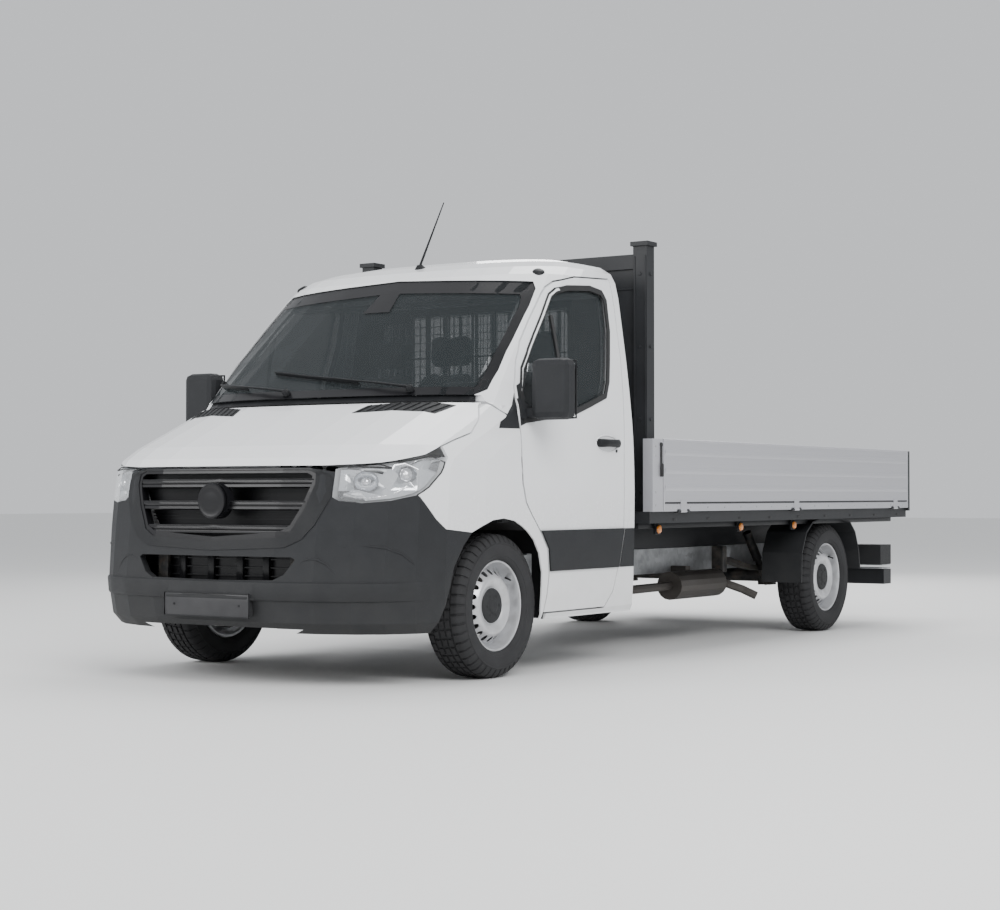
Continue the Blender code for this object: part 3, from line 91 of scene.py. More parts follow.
# Turned sections are (radius, outwards) from the middle plane of a wheel.
TYRE_WALL = ((.2212, .093), (.226, .101), (.236, .108), (.242, .1095), (.244, .112),
             (.250, .1135), (.265, .1155), (.280, .116), (.296, .1145), (.298, .1165),
             (.303, .1160), (.305, .1125), (.318, .108), (.330, .100), (.341, .090))
TREAD_START = .316
TREAD_HALF, TREAD_CROWN = .0795, .0035
TREAD_STATIONS = (.0795, .058, .0565, .0475, .046, .024, .0225, .0135, .012)
GROOVE_STATIONS = {.0565, .0475, .0225, .0135}
BLOCK_CUTS = (0.0, 0.72, 0.76, 0.96)  # where a tread block ends and the next begins
WHEEL_DISH = ((.060, .064), (.088, .060), (.100, .070), (.118, .077), (.132, .079),
              (.140, .077), (.147, .071), (.177, .034), (.190, .022), (.202, .016))
DISC_INNER = (.060, .075, .088, .100, .109, .118, .125, .132, .138, .143)
DISC_OUTER = (.180, .186, .194, .202)
DISC_THICK, HOLES_AT = .005, .1615
WHEEL_BARREL = ((.2207, .087), (.2195, .091), (.2150, .0925), (.2110, .090), (.2085, .082),
                (.2065, .060), (.2045, .036), (.2020, .016), (.1990, .006), (.1960, -.040),
                (.1990, -.088), (.2065, -.098), (.2170, -.100), (.2207, -.094),
                (.2207, -.070), (.2090, -.050), (.2060, -.010), (.2080, .020),
                (.2207, .055))
CAP_BOLT = ((.001, .0750), (.006, .0750), (.0075, .0735), (.0085, .0690), (.001, .0680))

# Turned heads are (radius, height) over the face that they sit on.
BOLT_HEAD = ((.001, .006), (.009, .0055), (.0105, .003), (.0105, -.003), (.001, -.004))
POST_RIVET = ((.001, .003), (.005, .0026), (.0065, .0004), (.0065, -.002), (.001, -.004))
PLATE_SCREW = ((.001, .0022), (.005, .0020), (.0065, 0), (.001, -.002))
DOOR_LOCK = ((.001, .003), (.008, .003), (.010, .001), (.010, -.004), (.001, -.004))
CENTRE_DISC = ((.001, .0100), (.040, .0095), (.066, .0065), (.070, .0080), (.078, .0080),
               (.082, .0050), (.082, -.006), (.001, -.006))

# Side outlines of a seat's pads, (along, up).
CUSHION_SIDE = ((.520, .905), (.505, .960), (.530, 1.000), (.70, 1.012), (.86, 1.000),
                (.925, .975), (.930, .915), (.86, .895), (.60, .893))
BACK_SIDE = ((.962, .960), (.930, 1.000), (.945, 1.16), (.985, 1.36), (1.030, 1.545),
             (1.070, 1.585), (1.118, 1.580), (1.132, 1.545), (1.110, 1.36), (1.075, 1.12),
             (1.045, .960))
REST_SIDE = ((1.085, 1.612), (1.078, 1.68), (1.088, 1.765), (1.115, 1.785), (1.150, 1.770),
             (1.162, 1.70), (1.155, 1.62), (1.120, 1.603))

# Heights of the boards' ridges, and one ridge as (up, outwards) round its height.
RIDGES = (.927, 1.021, 1.121)
RIDGE_SHAPE = ((-.020, -.003), (-.019, .0006), (-.012, .0030), (.0, .0046), (.009, .0040),
               (.015, .0010), (.016, -.003))


# A socket that adds Math nodes when it meets numbers or other sockets in an expression.
class Value:
    def __init__(self, finish, socket):
        self.finish = finish
        self.socket = socket

    def maths(self, operation, first, second):
        return self.finish.node(
            "ShaderNodeMath", {"operation": operation}, {0: first, 1: second})

    def __add__(self, other):
        return self.maths("ADD", self, other)

    def __radd__(self, other):
        return self.maths("ADD", other, self)

    def __mul__(self, other):
        return self.maths("MULTIPLY", self, other)

    def __rmul__(self, other):
        return self.maths("MULTIPLY", other, self)

    def __pow__(self, other):
        return self.maths("POWER", self, other)


# One material with its nodes; every call of node() adds one.
class Finish:
    def __init__(self, name, view_colour):
        self.material = bpy.data.materials.new(name)
        self.material.use_nodes = True
        self.material.diffuse_color = (*view_colour, 1.0)
        self.tree = self.material.node_tree
        self.shader = self.tree.nodes["Principled BSDF"]

    def node(self, kind, settings, inputs, output=0):
        made = self.tree.nodes.new(kind)
        for key, setting in settings.items():
            setattr(made, key, setting)
        for key, value in inputs.items():
            self.feed(made.inputs[key], value)
        return Value(self, made.outputs[output])

    def feed(self, socket, value):
        if isinstance(value, Value):
            self.tree.links.new(value.socket, socket)
        elif isinstance(value, (tuple, list)) and socket.type == "RGBA" and len(value) == 3:
            socket.default_value = (*value, 1.0)
        else:
            socket.default_value = value

    def set(self, **values):
        for key, value in values.items():
            self.feed(self.shader.inputs[key.replace("_", " ").title().replace("Ior", "IOR")], value)
        return self

    def place(self, stretch=(1.0, 1.0, 1.0)):
        here = self.node("ShaderNodeTexCoord", {}, {}, "Object")
        if stretch == (1.0, 1.0, 1.0):
            return here
        return self.node("ShaderNodeVectorMath", {"operation": "MULTIPLY"}, {0: here, 1: stretch})

    def axis(self, letter):
        return self.node("ShaderNodeSeparateXYZ", {}, {0: self.place()}, letter)

    def noise(self, scale, detail=3.0, stretch=(1.0, 1.0, 1.0)):
        return self.node(
            "ShaderNodeTexNoise", {},
            {"Vector": self.place(stretch), "Scale": scale, "Detail": detail, "Roughness": 0.55})

    def wave(self, direction, scale, place, uneven=0.0, detail=2.0):
        return self.node(
            "ShaderNodeTexWave", {"wave_type": "BANDS", "bands_direction": direction},
            {"Vector": place, "Scale": scale, "Distortion": uneven, "Detail": detail})

    def cells(self, scale, stretch=(1.0, 1.0, 1.0), output="Distance", feature="F1"):
        return self.node(
            "ShaderNodeTexVoronoi", {"feature": feature},
            {"Vector": self.place(stretch), "Scale": scale}, output)

    def band(self, value, low, high, start=0.0, end=1.0):
        return self.node(
            "ShaderNodeMapRange", {"clamp": True},
            {0: value, 1: low, 2: high, 3: start, 4: end})

    def blend(self, factor, first, second):
        return self.node(
            "ShaderNodeMix", {"data_type": "RGBA"},
            {"Factor": factor, 6: first, 7: second}, 2)

    def bump(self, height, distance):
        return self.node(
            "ShaderNodeBump", {}, {"Height": height, "Distance": distance, "Strength": 1.0})


def colour(name, description, default):
    return bpy.props.FloatVectorProperty(
        name=name, description=description, subtype="COLOR", size=3, min=0.0, max=1.0,
        default=default)


def length(name, description, default):
    return bpy.props.FloatProperty(
        name=name, description=description, default=default, min=0.0, unit="LENGTH",
        precision=4)


def count(name, description, default):
    return bpy.props.IntProperty(name=name, description=description, default=default, min=1)


class FlatbedColours(bpy.types.PropertyGroup):
    coat: colour("Coat", "Paint of the cab", (0.860, 0.868, 0.880))
    moulded: colour("Moulded plastic", "Bumper, cladding and mirrors", (0.017, 0.018, 0.020))
    trim: colour("Gloss trim", "Grille blades and glass edges", (0.006, 0.006, 0.007))
    glass: colour("Glass", "Tint of the windows", (0.035, 0.042, 0.045))
    alloy: colour("Alloy", "Drop boards and corner posts", (0.560, 0.560, 0.590))
    steel: colour("Dark steel", "Side rail, headboard and axles", (0.017, 0.018, 0.020))
    zinc: colour("Zinc", "Frame rails", (0.400, 0.410, 0.420))
    rubber: colour("Rubber", "Tyres and seals", (0.017, 0.017, 0.018))
    wheel: colour("Wheel silver", "Pressed steel wheels", (0.600, 0.605, 0.620))
    cloth: colour("Cloth", "Middle of the seats", (0.055, 0.056, 0.060))
    bolster: colour("Bolster", "Sides of the seats", (0.022, 0.022, 0.024))
    marker: colour("Marker", "Side markers and indicators", (0.850, 0.260, 0.030))
    tail: colour("Tail lamp", "Rear lenses", (0.420, 0.012, 0.010))
    deck_board: colour("Deck board", "Coated floor board", (0.060, 0.042, 0.032))
    floor: colour("Floor", "Studio floor", (0.820, 0.820, 0.810))


def tint(name):
    return tuple(getattr(bpy.context.scene.flatbed_colours, name))


def shade(colour_value, factor):
    return tuple(min(1.0, channel * factor) for channel in colour_value)


# Finishes, each with the grain, wear and dust that its real material shows; the coat also carries
# painted shade inside the front wheel arches.
def coat_paint(name):
    """White coat, dusty low down, and dark inside the front wheel arches, partly underseal and partly
    painted shade.
    """
    base = tint("coat")
    f = Finish(name, base)
    dust = f.band(f.axis("Z"), 0.95, 0.26) * f.noise(6.0, 5.0) * 0.42
    clean = f.blend(f.noise(1.6), base, shade(base, 0.965))
    across, along = f.axis("X"), f.axis("Y")
    # Dark and rougher inside the front wheel arches: partly underseal, partly painted shade of the
    # arch.
    arch = f.band(across * across, 0.952, 0.948) * f.band(f.axis("Z"), 0.81, 0.80)
    arch = arch * f.band(along, -2.47, -2.46) * f.band(along, -1.62, -1.63)
    outside = f.blend(dust, clean, (0.46, 0.44, 0.40))
    return f.set(
        base_color=f.blend(arch, outside, shade(tint("steel"), 0.9)),
        roughness=0.20 + 0.10 * f.noise(34.0) + dust * 0.4 + arch * 0.5,
        coat_weight=0.55, coat_roughness=0.045,
        normal=f.bump(f.noise(210.0, 1.5), 0.00012))


def moulded_plastic(name):
    base = tint("moulded")
    f = Finish(name, base)
    dust = f.band(f.axis("Z"), 0.70, 0.20) * f.noise(9.0, 6.0) * 0.20
    grain = f.cells(520.0)
    tone = f.blend(f.noise(14.0, 4.0), shade(base, 0.85), shade(base, 1.25))
    return f.set(
        base_color=f.blend(dust, tone, (0.13, 0.125, 0.115)),
        roughness=0.50 + 0.14 * f.noise(90.0) + dust * 0.5, specular_ior_level=0.26,
        normal=f.bump(grain, 0.0007))


def gloss_trim(name):
    base = tint("trim")
    f = Finish(name, base)
    return f.set(
        base_color=f.blend(f.noise(30.0, 4.0), base, shade(base, 1.7)),
        roughness=0.24 + 0.12 * f.noise(70.0, 4.0), specular_ior_level=0.32,
        normal=f.bump(f.noise(300.0), 0.00008))


def satin_trim(name):
    base = shade(tint("moulded"), 0.55)
    f = Finish(name, base)
    return f.set(
        base_color=f.blend(f.noise(22.0, 4.0), base, shade(base, 1.5)),
        roughness=0.36 + 0.12 * f.noise(80.0, 4.0), specular_ior_level=0.22,
        normal=f.bump(f.cells(700.0), 0.0003))


def window_glass(name):
    base = tint("glass")
    f = Finish(name, base)
    edge = f.node("ShaderNodeFresnel", {}, {"IOR": 1.45})
    smear = f.noise(3.0, 5.0, (1.0, 1.0, 2.5))
    return f.set(
        base_color=f.blend(smear, base, shade(base, 1.25)),
        roughness=0.012 + 0.015 * smear, alpha=f.band(edge, 0.03, 0.60, 0.15, 0.85),
        specular_ior_level=0.5)


def clear_lens(name):
    f = Finish(name, (0.80, 0.82, 0.84))
    edge = f.node("ShaderNodeFresnel", {}, {"IOR": 1.5})
    flutes = f.noise(5.0, 2.0)
    return f.set(
        base_color=f.blend(flutes, (0.80, 0.82, 0.84), (0.88, 0.89, 0.90)),
        roughness=0.03 + 0.03 * flutes, alpha=f.band(edge, 0.03, 0.5, 0.13, 0.75),
        specular_ior_level=1.0)


def reflector(name):
    f = Finish(name, (0.75, 0.77, 0.80))
    return f.set(
        base_color=f.blend(f.noise(18.0), (0.70, 0.72, 0.75), (0.86, 0.87, 0.89)),
        metallic=0.94, roughness=0.09 + 0.08 * f.noise(45.0),
        normal=f.bump(f.noise(90.0), 0.0003))


def fluted_reflector(name):
    f = Finish(name, (0.70, 0.71, 0.73))
    cells = f.cells(95.0, (1.0, 0.3, 1.0), "Distance", "SMOOTH_F1")
    return f.set(
        base_color=f.blend(cells, (0.55, 0.56, 0.58), (0.90, 0.90, 0.92)),
        metallic=0.80, roughness=0.14 + 0.1 * cells, normal=f.bump(cells, 0.003))


def alloy_sheet(name):
    base = tint("alloy")
    f = Finish(name, base)
    drawn = f.noise(1.0, 4.0, (300.0, 1.4, 480.0))
    stain = f.noise(2.6, 6.0, (1.0, 1.0, 3.0))
    low = f.band(f.axis("Z"), 0.95, 0.78) * stain
    tone = f.blend(drawn, shade(base, 0.90), shade(base, 1.08))
    return f.set(
        base_color=f.blend(low * 0.35, tone, shade(base, 0.55)),
        metallic=0.62, roughness=0.33 + 0.10 * drawn + 0.10 * stain,
        normal=f.bump(drawn, 0.00018))


def dark_steel(name):
    base = tint("steel")
    f = Finish(name, base)
    dust = f.noise(5.0, 7.0) ** 2.0
    return f.set(
        base_color=f.blend(dust, shade(base, 0.8), shade(base, 1.9)),
        roughness=0.42 + 0.30 * dust, specular_ior_level=0.32,
        normal=f.bump(f.noise(260.0, 3.0), 0.0004))


def road_steel(name):
    base = shade(tint("steel"), 0.8)
    f = Finish(name, base)
    dirt = f.band(f.noise(11.0, 7.0), 0.42, 0.70)
    rust = f.band(f.noise(27.0, 5.0), 0.58, 0.72)
    worn = f.blend(dirt, base, (0.105, 0.095, 0.082))
    return f.set(
        base_color=f.blend(rust * 0.5, worn, (0.090, 0.045, 0.024)),
        roughness=0.52 + 0.30 * dirt, metallic=0.15,
        normal=f.bump(f.noise(130.0, 5.0), 0.0012))


def zinc_coat(name):
    base = tint("zinc")
    f = Finish(name, base)
    spangle = f.cells(34.0, output="Color")
    grey = f.node("ShaderNodeRGBToBW", {}, {0: spangle})
    dirt = f.band(f.noise(7.0, 7.0), 0.50, 0.80)
    tone = f.blend(grey, shade(base, 0.80), shade(base, 1.18))
    return f.set(
        base_color=f.blend(dirt * 0.6, tone, shade(base, 0.35)),
        metallic=0.55, roughness=0.36 + 0.16 * grey + 0.2 * dirt,
        normal=f.bump(grey, 0.0002))


def tyre_rubber(name):
    base = tint("rubber")
    f = Finish(name, base)
    dust = f.noise(12.0, 7.0)
    return f.set(
        base_color=f.blend(dust, shade(base, 0.75), shade(base, 2.1)),
        roughness=0.66 + 0.20 * dust, specular_ior_level=0.35,
        normal=f.bump(f.noise(340.0, 4.0), 0.0006))


def seal_rubber(name):
    base = shade(tint("rubber"), 0.7)
    f = Finish(name, base)
    return f.set(
        base_color=f.blend(f.noise(30.0, 5.0), base, shade(base, 1.6)),
        roughness=0.55 + 0.15 * f.noise(55.0), normal=f.bump(f.noise(420.0), 0.0003))


def wheel_silver(name):
    base = tint("wheel")
    f = Finish(name, base)
    dust = f.band(f.noise(13.0, 6.0), 0.45, 0.80)
    flake = f.noise(900.0, 1.0)
    tone = f.blend(flake, shade(base, 0.92), shade(base, 1.08))
    return f.set(
        base_color=f.blend(dust * 0.35, tone, (0.15, 0.13, 0.11)),
        metallic=0.55, roughness=0.30 + 0.25 * dust, normal=f.bump(flake, 0.0001))


def exhaust_steel(name):
    f = Finish(name, (0.09, 0.085, 0.08))
    heat = f.noise(4.0, 5.0)
    return f.set(
        base_color=f.blend(heat, (0.060, 0.050, 0.042), (0.130, 0.125, 0.120)),
        metallic=0.75, roughness=0.34 + 0.30 * heat,
        normal=f.bump(f.noise(70.0, 4.0), 0.0006))


def seat_cloth(name):
    base = tint("cloth")
    f = Finish(name, base)
    warp = f.wave("X", 130.0, f.place(), 0.6, 1.0)
    weft = f.wave("DIAGONAL", 120.0, f.place((0.0, 1.0, 1.0)), 0.6, 1.0)
    weave = warp * weft
    return f.set(
        base_color=f.blend(weave, shade(base, 0.55), shade(base, 1.6)),
        roughness=0.86 + 0.10 * weave, sheen_weight=0.25, sheen_roughness=0.5,
        normal=f.bump(weave, 0.0008))


def bolster_cloth(name):
    base = tint("bolster")
    f = Finish(name, base)
    knit = f.cells(430.0)
    return f.set(
        base_color=f.blend(knit, shade(base, 0.7), shade(base, 1.7)),
        roughness=0.80 + 0.12 * knit, sheen_weight=0.2, sheen_roughness=0.5,
        normal=f.bump(knit, 0.0008))


def seat_thread(name):
    f = Finish(name, (0.10, 0.10, 0.105))
    twist = f.noise(600.0, 2.0)
    return f.set(
        base_color=f.blend(twist, (0.07, 0.07, 0.075), (0.15, 0.15, 0.155)),
        roughness=0.7 + 0.1 * twist, normal=f.bump(twist, 0.0003))


def coloured_lens(name, base):
    f = Finish(name, base)
    prism = f.cells(150.0, (1.0, 1.0, 1.0), "Distance", "SMOOTH_F1")
    return f.set(
        base_color=f.blend(prism, shade(base, 0.60), shade(base, 1.25)),
        roughness=0.08 + 0.1 * prism, coat_weight=0.6, coat_roughness=0.03,
        normal=f.bump(prism, 0.0012))


def marker_lens(name):
    return coloured_lens(name, tint("marker"))


def tail_lens(name):
    return coloured_lens(name, tint("tail"))


def white_lens(name):
    return coloured_lens(name, (0.62, 0.63, 0.64))


def mirror_glass(name):
    f = Finish(name, (0.85, 0.87, 0.88))
    film = f.noise(6.0, 4.0)
    return f.set(
        base_color=f.blend(film, (0.82, 0.84, 0.86), (0.90, 0.91, 0.92)),
        metallic=0.98, roughness=0.02 + 0.03 * film)


def coated_board(name):
    base = tint("deck_board")
    f = Finish(name, base)
    ribs = f.wave("X", 28.0, f.place()) * f.wave("Y", 28.0, f.place())
    mesh = f.band(ribs, 0.25, 0.9)
    wear = f.noise(2.2, 6.0, (2.5, 1.0, 1.0))
    tone = f.blend(wear, shade(base, 0.75), shade(base, 1.55))
    return f.set(
        base_color=f.blend(mesh, shade(base, 0.6), tone),
        roughness=0.45 + 0.25 * wear, normal=f.bump(mesh, 0.0010))


def blank_plate(name):
    f = Finish(name, (0.020, 0.020, 0.022))
    scuff = f.noise(16.0, 5.0)
    return f.set(
        base_color=f.blend(scuff, (0.014, 0.014, 0.016), (0.034, 0.034, 0.037)),
        roughness=0.30 + 0.2 * scuff, normal=f.bump(f.noise(260.0), 0.0002))


def pale_floor(name):
    base = tint("floor")
    f = Finish(name, base)
    return f.set(
        base_color=f.blend(f.noise(0.6, 4.0), base, shade(base, 0.985)),
        roughness=0.62 + 0.05 * f.noise(3.0))


FINISHES = (
    coat_paint, moulded_plastic, gloss_trim, satin_trim, window_glass, clear_lens, reflector,
    fluted_reflector, alloy_sheet, dark_steel, road_steel, zinc_coat, tyre_rubber, seal_rubber,
    wheel_silver, exhaust_steel, seat_cloth, bolster_cloth, seat_thread, marker_lens, tail_lens,
    white_lens, mirror_glass, coated_board, blank_plate, pale_floor)
MADE = {}


def finish(name):
    if name not in MADE:
        maker = {one.__name__: one for one in FINISHES}[name]
        MADE[name] = maker(name).material
    return MADE[name]


# The finish of each CAD node that keeps its own shape.
NODE_FINISH = {
    "cab_shell": "coat_paint", "fender": "coat_paint", "bonnet": "coat_paint",
    "door": "coat_paint", "front_bumper": "moulded_plastic", "grille": "gloss_trim",
    "scuttle_panel": "satin_trim", "windscreen": "window_glass",
    "rear_window": "window_glass", "door_glass": "window_glass",
    "partition_guard": "dark_steel", "aerial": "satin_trim", "dashboard": "satin_trim",
    "steering_wheel": "satin_trim", "headlamp": "reflector", "engine_block": "exhaust_steel",
    "radiator": "road_steel", "front_subframe": "road_steel", "chassis_frame": "zinc_coat",
    "rear_axle": "road_steel", "exhaust": "exhaust_steel", "fuel_tank": "moulded_plastic",
    "mudguard": "moulded_plastic", "tail_lamp": "tail_lens", "underrun_bar": "dark_steel",
    "deck": "dark_steel", "load_floor": "coated_board", "headboard": "dark_steel",
    "corner_post": "alloy_sheet", "door_cladding": "moulded_plastic",
    "mirror": "moulded_plastic", "knuckle": "road_steel", "front_rim": "wheel_silver",
    "rear_rim": "wheel_silver", "front_tyre": "tyre_rubber", "rear_tyre": "tyre_rubber",
    "side_board": "alloy_sheet", "tailboard": "alloy_sheet", "driver_seat": "seat_cloth",
    "passenger_seat": "seat_cloth",
}


class FlatbedSizes(bpy.types.PropertyGroup):
    tread_depth: length("Tread depth", "Depth of the tyre's grooves", 0.008)
    tread_pitches: count("Tread pitches", "Blocks round one tyre", 46)
    rim_holes: count("Rim holes", "Round holes in one wheel", 20)
    rim_hole: length("Rim hole", "Radius of one hole in a wheel", 0.0142)
    cap_radius: length("Hub cap", "Radius of the dark hub cap", 0.086)
    glass_edge: length("Glass edge", "Width of the black band of the windscreen", 0.040)
    seal: length("Seal", "Thickness of the window and lamp seals", 0.009)
    handle: length("Door handle", "Length of the door handle", 0.200)
    vent_slats: count("Vent slats", "Slats in one vent of the bonnet", 9)
    mesh_wires: count("Mesh wires", "Upright wires of the guard behind the seats", 27)
    rivet: length("Rivet", "Radius of the rivets on the boards", 0.005)
    marker_radius: length("Marker", "Radius of the round side markers", 0.024)
    seam: length("Seam", "Thickness of the seats' seams", 0.0045)
    plate_width: length("Plate width", "Width of the blank plate", 0.520)
    plate_height: length("Plate height", "Height of the blank plate", 0.110)


def sizes():
    return bpy.context.scene.flatbed_sizes


def as_object(name, bm):
    """Turns a bmesh into an object in the scene."""
    mesh = bpy.data.meshes.new(name)
    bm.to_mesh(mesh)
    bm.free()
    made = bpy.data.objects.new(name, mesh)
    bpy.context.scene.collection.objects.link(made)
    return made


def smoothed(mesh, angle):
    mesh.polygons.foreach_set("use_smooth", [True] * len(mesh.polygons))
    mesh.set_sharp_from_angle(angle=math.radians(angle))


def settle(made):
    """Replaces an object's mesh by what its modifiers make of it."""
    bpy.context.view_layer.update()
    result = bpy.data.meshes.new_from_object(
        made.evaluated_get(bpy.context.evaluated_depsgraph_get()))
    made.modifiers.clear()
    made.data = result


def piece(name, bm, look, body, smooth=35.0, replaces=()):
    """Turns a bmesh into a finished piece that rides on a body."""
    bmesh.ops.recalc_face_normals(bm, faces=bm.faces)
    made = as_object(name, bm)
    made.data.materials.append(finish(look))
    smoothed(made.data, smooth)
    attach(made, body)
    if replaces:
        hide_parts(*replaces)
    return made


def stitch(bm, a, b):
    """Faces between two closed rings with equal numbers of corners."""
    for i in range(len(a)):
        j = (i + 1) % len(a)
        bm.faces.new((a[i], a[j], b[j], b[i]))


def skin_over(bm, rings):
    """Corners along rings of points, each ring stitched to the next."""
    rows = [[bm.verts.new(p) for p in ring] for ring in rings]
    for a, b in zip(rows, rows[1:]):
        stitch(bm, a, b)
    return rows


def loft(bm, rings):
    """A closed solid through rings of points, with a flat face at each end."""
    rows = skin_over(bm, rings)
    bm.faces.new(rows[0][::-1])
    bm.faces.new(rows[-1])


def hoop(bm, rings):
    """A closed solid whose last ring joins its first."""
    rows = skin_over(bm, rings)
    stitch(bm, rows[-1], rows[0])


def frame_at(direction):
    """Two directions across a direction."""
    up = Vector((0, 0, 1)) if abs(direction.z) < 0.9 else Vector((0, 1, 0))
    across = direction.cross(up).normalized()
    return across, across.cross(direction).normalized()


def rod(bm, points, radius, sides=8, closed=False, flat=1.0):
    """A round or flattened bar along points; radius may be one number or one a point."""
    points = [Vector(p) for p in points]
    total = len(points)
    radii = radius if isinstance(radius, (list, tuple)) else [radius] * total
    rings = []
    for i, here in enumerate(points):
        after = points[(i + 1) % total] if closed or i + 1 < total else here
        before = points[i - 1] if closed or i else here
        across, up = frame_at((after - before).normalized())
        rings.append([
            here + across * math.cos(t) * radii[i] + up * math.sin(t) * radii[i] * flat
            for t in (2 * math.pi * k / sides for k in range(sides))])
    if closed:
        hoop(bm, rings)
    else:
        loft(bm, rings)


def block(bm, low, high, bevel=0.0, segments=2):
    """A box between two corners with rounded edges."""
    centre = [(a + b) / 2 for a, b in zip(low, high)]
    scale = [abs(b - a) for a, b in zip(low, high)]
    made = bmesh.ops.create_cube(
        bm, size=1.0, matrix=Matrix.Translation(centre) @ Matrix.Diagonal((*scale, 1.0)))
    if bevel:
        edges = list({e for v in made["verts"] for e in v.link_edges})
        bmesh.ops.bevel(
            bm, geom=edges, offset=bevel, segments=segments, profile=0.5, affect="EDGES",
            clamp_overlap=True)


def spin(bm, section, centre, side, turns=64):
    """A ring: section is (radius, outward) points of a closed outline, about the truck's side axis."""
    rings = []
    for k in range(turns):
        angle = 2 * math.pi * k / turns
        rings.append([
            Vector((centre[0] + side * out, centre[1] + r * math.sin(angle),
                    centre[2] + r * math.cos(angle))) for r, out in section])
    hoop(bm, rings)


def cup(bm, section, centre, axis, turns=40):
    """A closed turned piece: section is (radius, along) from tip to tip of the axis."""
    centre, axis = Vector(centre), Vector(axis).normalized()
    across, up = frame_at(axis)
    rings = [[
        centre + axis * along + (across * math.cos(t) + up * math.sin(t)) * max(r, 1e-4)
        for t in (2 * math.pi * k / turns for k in range(turns))] for r, along in section]
    loft(bm, rings)


def skin_of(*names):
    """The surface of CAD nodes, for placing pieces on them."""
    joined = bmesh.new()
    for name in names:
        joined.from_mesh(NODES[name].data)
    tree = BVHTree.FromBMesh(joined)
    joined.free()
    return tree


def touch(tree, start, direction):
    """Where a line first meets a surface, and the surface's outward side there."""
    place, normal, _, _ = tree.ray_cast(Vector(start), Vector(direction).normalized())
    if place is None:
        raise RuntimeError(f"nothing at {tuple(round(v, 3) for v in start)}")
    if normal.dot(Vector(direction)) > 0:
        normal = -normal
    return place, normal


def walk(outline, step):
    """Points along a closed outline, about a step apart, its corners among them."""
    walked = []
    for a, b in zip(outline, outline[1:] + outline[:1]):
        a, b = Vector(a), Vector(b)
        parts = max(1, round((b - a).length / step))
        walked += [a.lerp(b, k / parts) for k in range(parts)]
    return walked


def inset(outline, distance):
    """The outline moved inwards by a distance, point for point."""
    area = sum(a[0] * b[1] - b[0] * a[1] for a, b in zip(outline, outline[1:] + outline[:1]))
    turn = 1 if area > 0 else -1
    moved = []
    for i, here in enumerate(outline):
        here = Vector(here)
        before, after = Vector(outline[i - 1]), Vector(outline[(i + 1) % len(outline)])
        run_in, run_out = (here - before).normalized(), (after - here).normalized()
        in_normal = Vector((-run_in.y, run_in.x)) * turn
        out_normal = Vector((-run_out.y, run_out.x)) * turn
        middle = in_normal + out_normal
        if middle.length < 1e-6:
            middle = in_normal.copy()
        middle.normalize()
        reach = distance / max(0.5, middle.dot(in_normal))
        moved.append(here + middle * reach)
    return moved


def laid_band(bm, outer, inner, onto, lift, depth):
    """A closed band between two outlines, laid on a surface through onto(point)."""
    rings = []
    for line, raised in ((outer, -depth), (outer, lift), (inner, lift), (inner, -depth)):
        hits = [onto(point) for point in line]
        rings.append([place + normal * raised for place, normal in hits])
    hoop(bm, rings)


def laid_sheet(bm, grid, onto, lift, depth):
    """A closed thin sheet over a grid of points, laid on a surface through onto(point)."""
    top, low = [], []
    for row in grid:
        hits = [onto(point) for point in row]
        top.append([bm.verts.new(p + n * lift) for p, n in hits])
        low.append([bm.verts.new(p - n * depth) for p, n in hits])
    tall, wide = len(grid), len(grid[0])
    for r in range(tall - 1):
        for c in range(wide - 1):
            bm.faces.new((top[r][c], top[r][c + 1], top[r + 1][c + 1], top[r + 1][c]))
            bm.faces.new((low[r][c], low[r + 1][c], low[r + 1][c + 1], low[r][c + 1]))
    rim = [(0, c) for c in range(wide)] + [(r, wide - 1) for r in range(1, tall)]
    rim += [(tall - 1, c) for c in range(wide - 2, -1, -1)] + [(r, 0) for r in range(tall - 2, 0, -1)]
    for (r, c), (s, d) in zip(rim, rim[1:] + rim[:1]):
        bm.faces.new((top[r][c], low[r][c], low[s][d], top[s][d]))


def quad_grid(corners, wide, tall):
    """A grid of points between four corners, in order round the shape."""
    a, b, c, d = (Vector(p) for p in corners)
    return [[
        a.lerp(b, i / (wide - 1)).lerp(d.lerp(c, i / (wide - 1)), j / (tall - 1))
        for i in range(wide)] for j in range(tall)]


def mirrored(half):
    """A closed outline from its right half, which starts and ends on the middle."""
    return [Vector(p) for p in half] + [Vector((-x, z)) for x, z in reversed(half[1:-1])]


def back_vector():
    """From the photograph's view back towards its camera."""
    azimuth, elevation = CAMERA_TURN
    return Vector((math.sin(azimuth) * math.cos(elevation),
                   -math.cos(azimuth) * math.cos(elevation), math.sin(elevation)))


def seen_at(tree, across, down):
    """The place on a surface that the photograph shows at a pixel of its 1000 x 910 frame."""
    back = back_vector()
    right = Vector((0, 0, 1)).cross(back).normalized()
    up = back.cross(right)
    for slip in range(8):
        aim = (right * (across - .7 * slip - PHOTO_MIDDLE[0]) - up * (down - PHOTO_MIDDLE[1])
               - back * FOCAL_PIXELS)
        place, normal, _, _ = tree.ray_cast(CAMERA_PLACE, aim.normalized())
        if place is not None:
            return place, normal if normal.dot(aim) < 0 else -normal
    raise RuntimeError(f"nothing is seen at {across}, {down}")


def flipped(point, side):
    """A point of the left side, or its mirror image on the right."""
    return Vector((point.x * side, point.y, point.z))


def plate(bm, outline, at, thick):
    """A flat plate across the truck from an (x, z) outline, its front at a place along it."""
    front = [bm.verts.new((x, at, z)) for x, z in outline]
    rear = [bm.verts.new((x, at + thick, z)) for x, z in outline]
    bm.faces.new(front)
    bm.faces.new(rear[::-1])
    for i in range(len(front)):
        j = (i + 1) % len(front)
        bm.faces.new((front[i], rear[i], rear[j], front[j]))


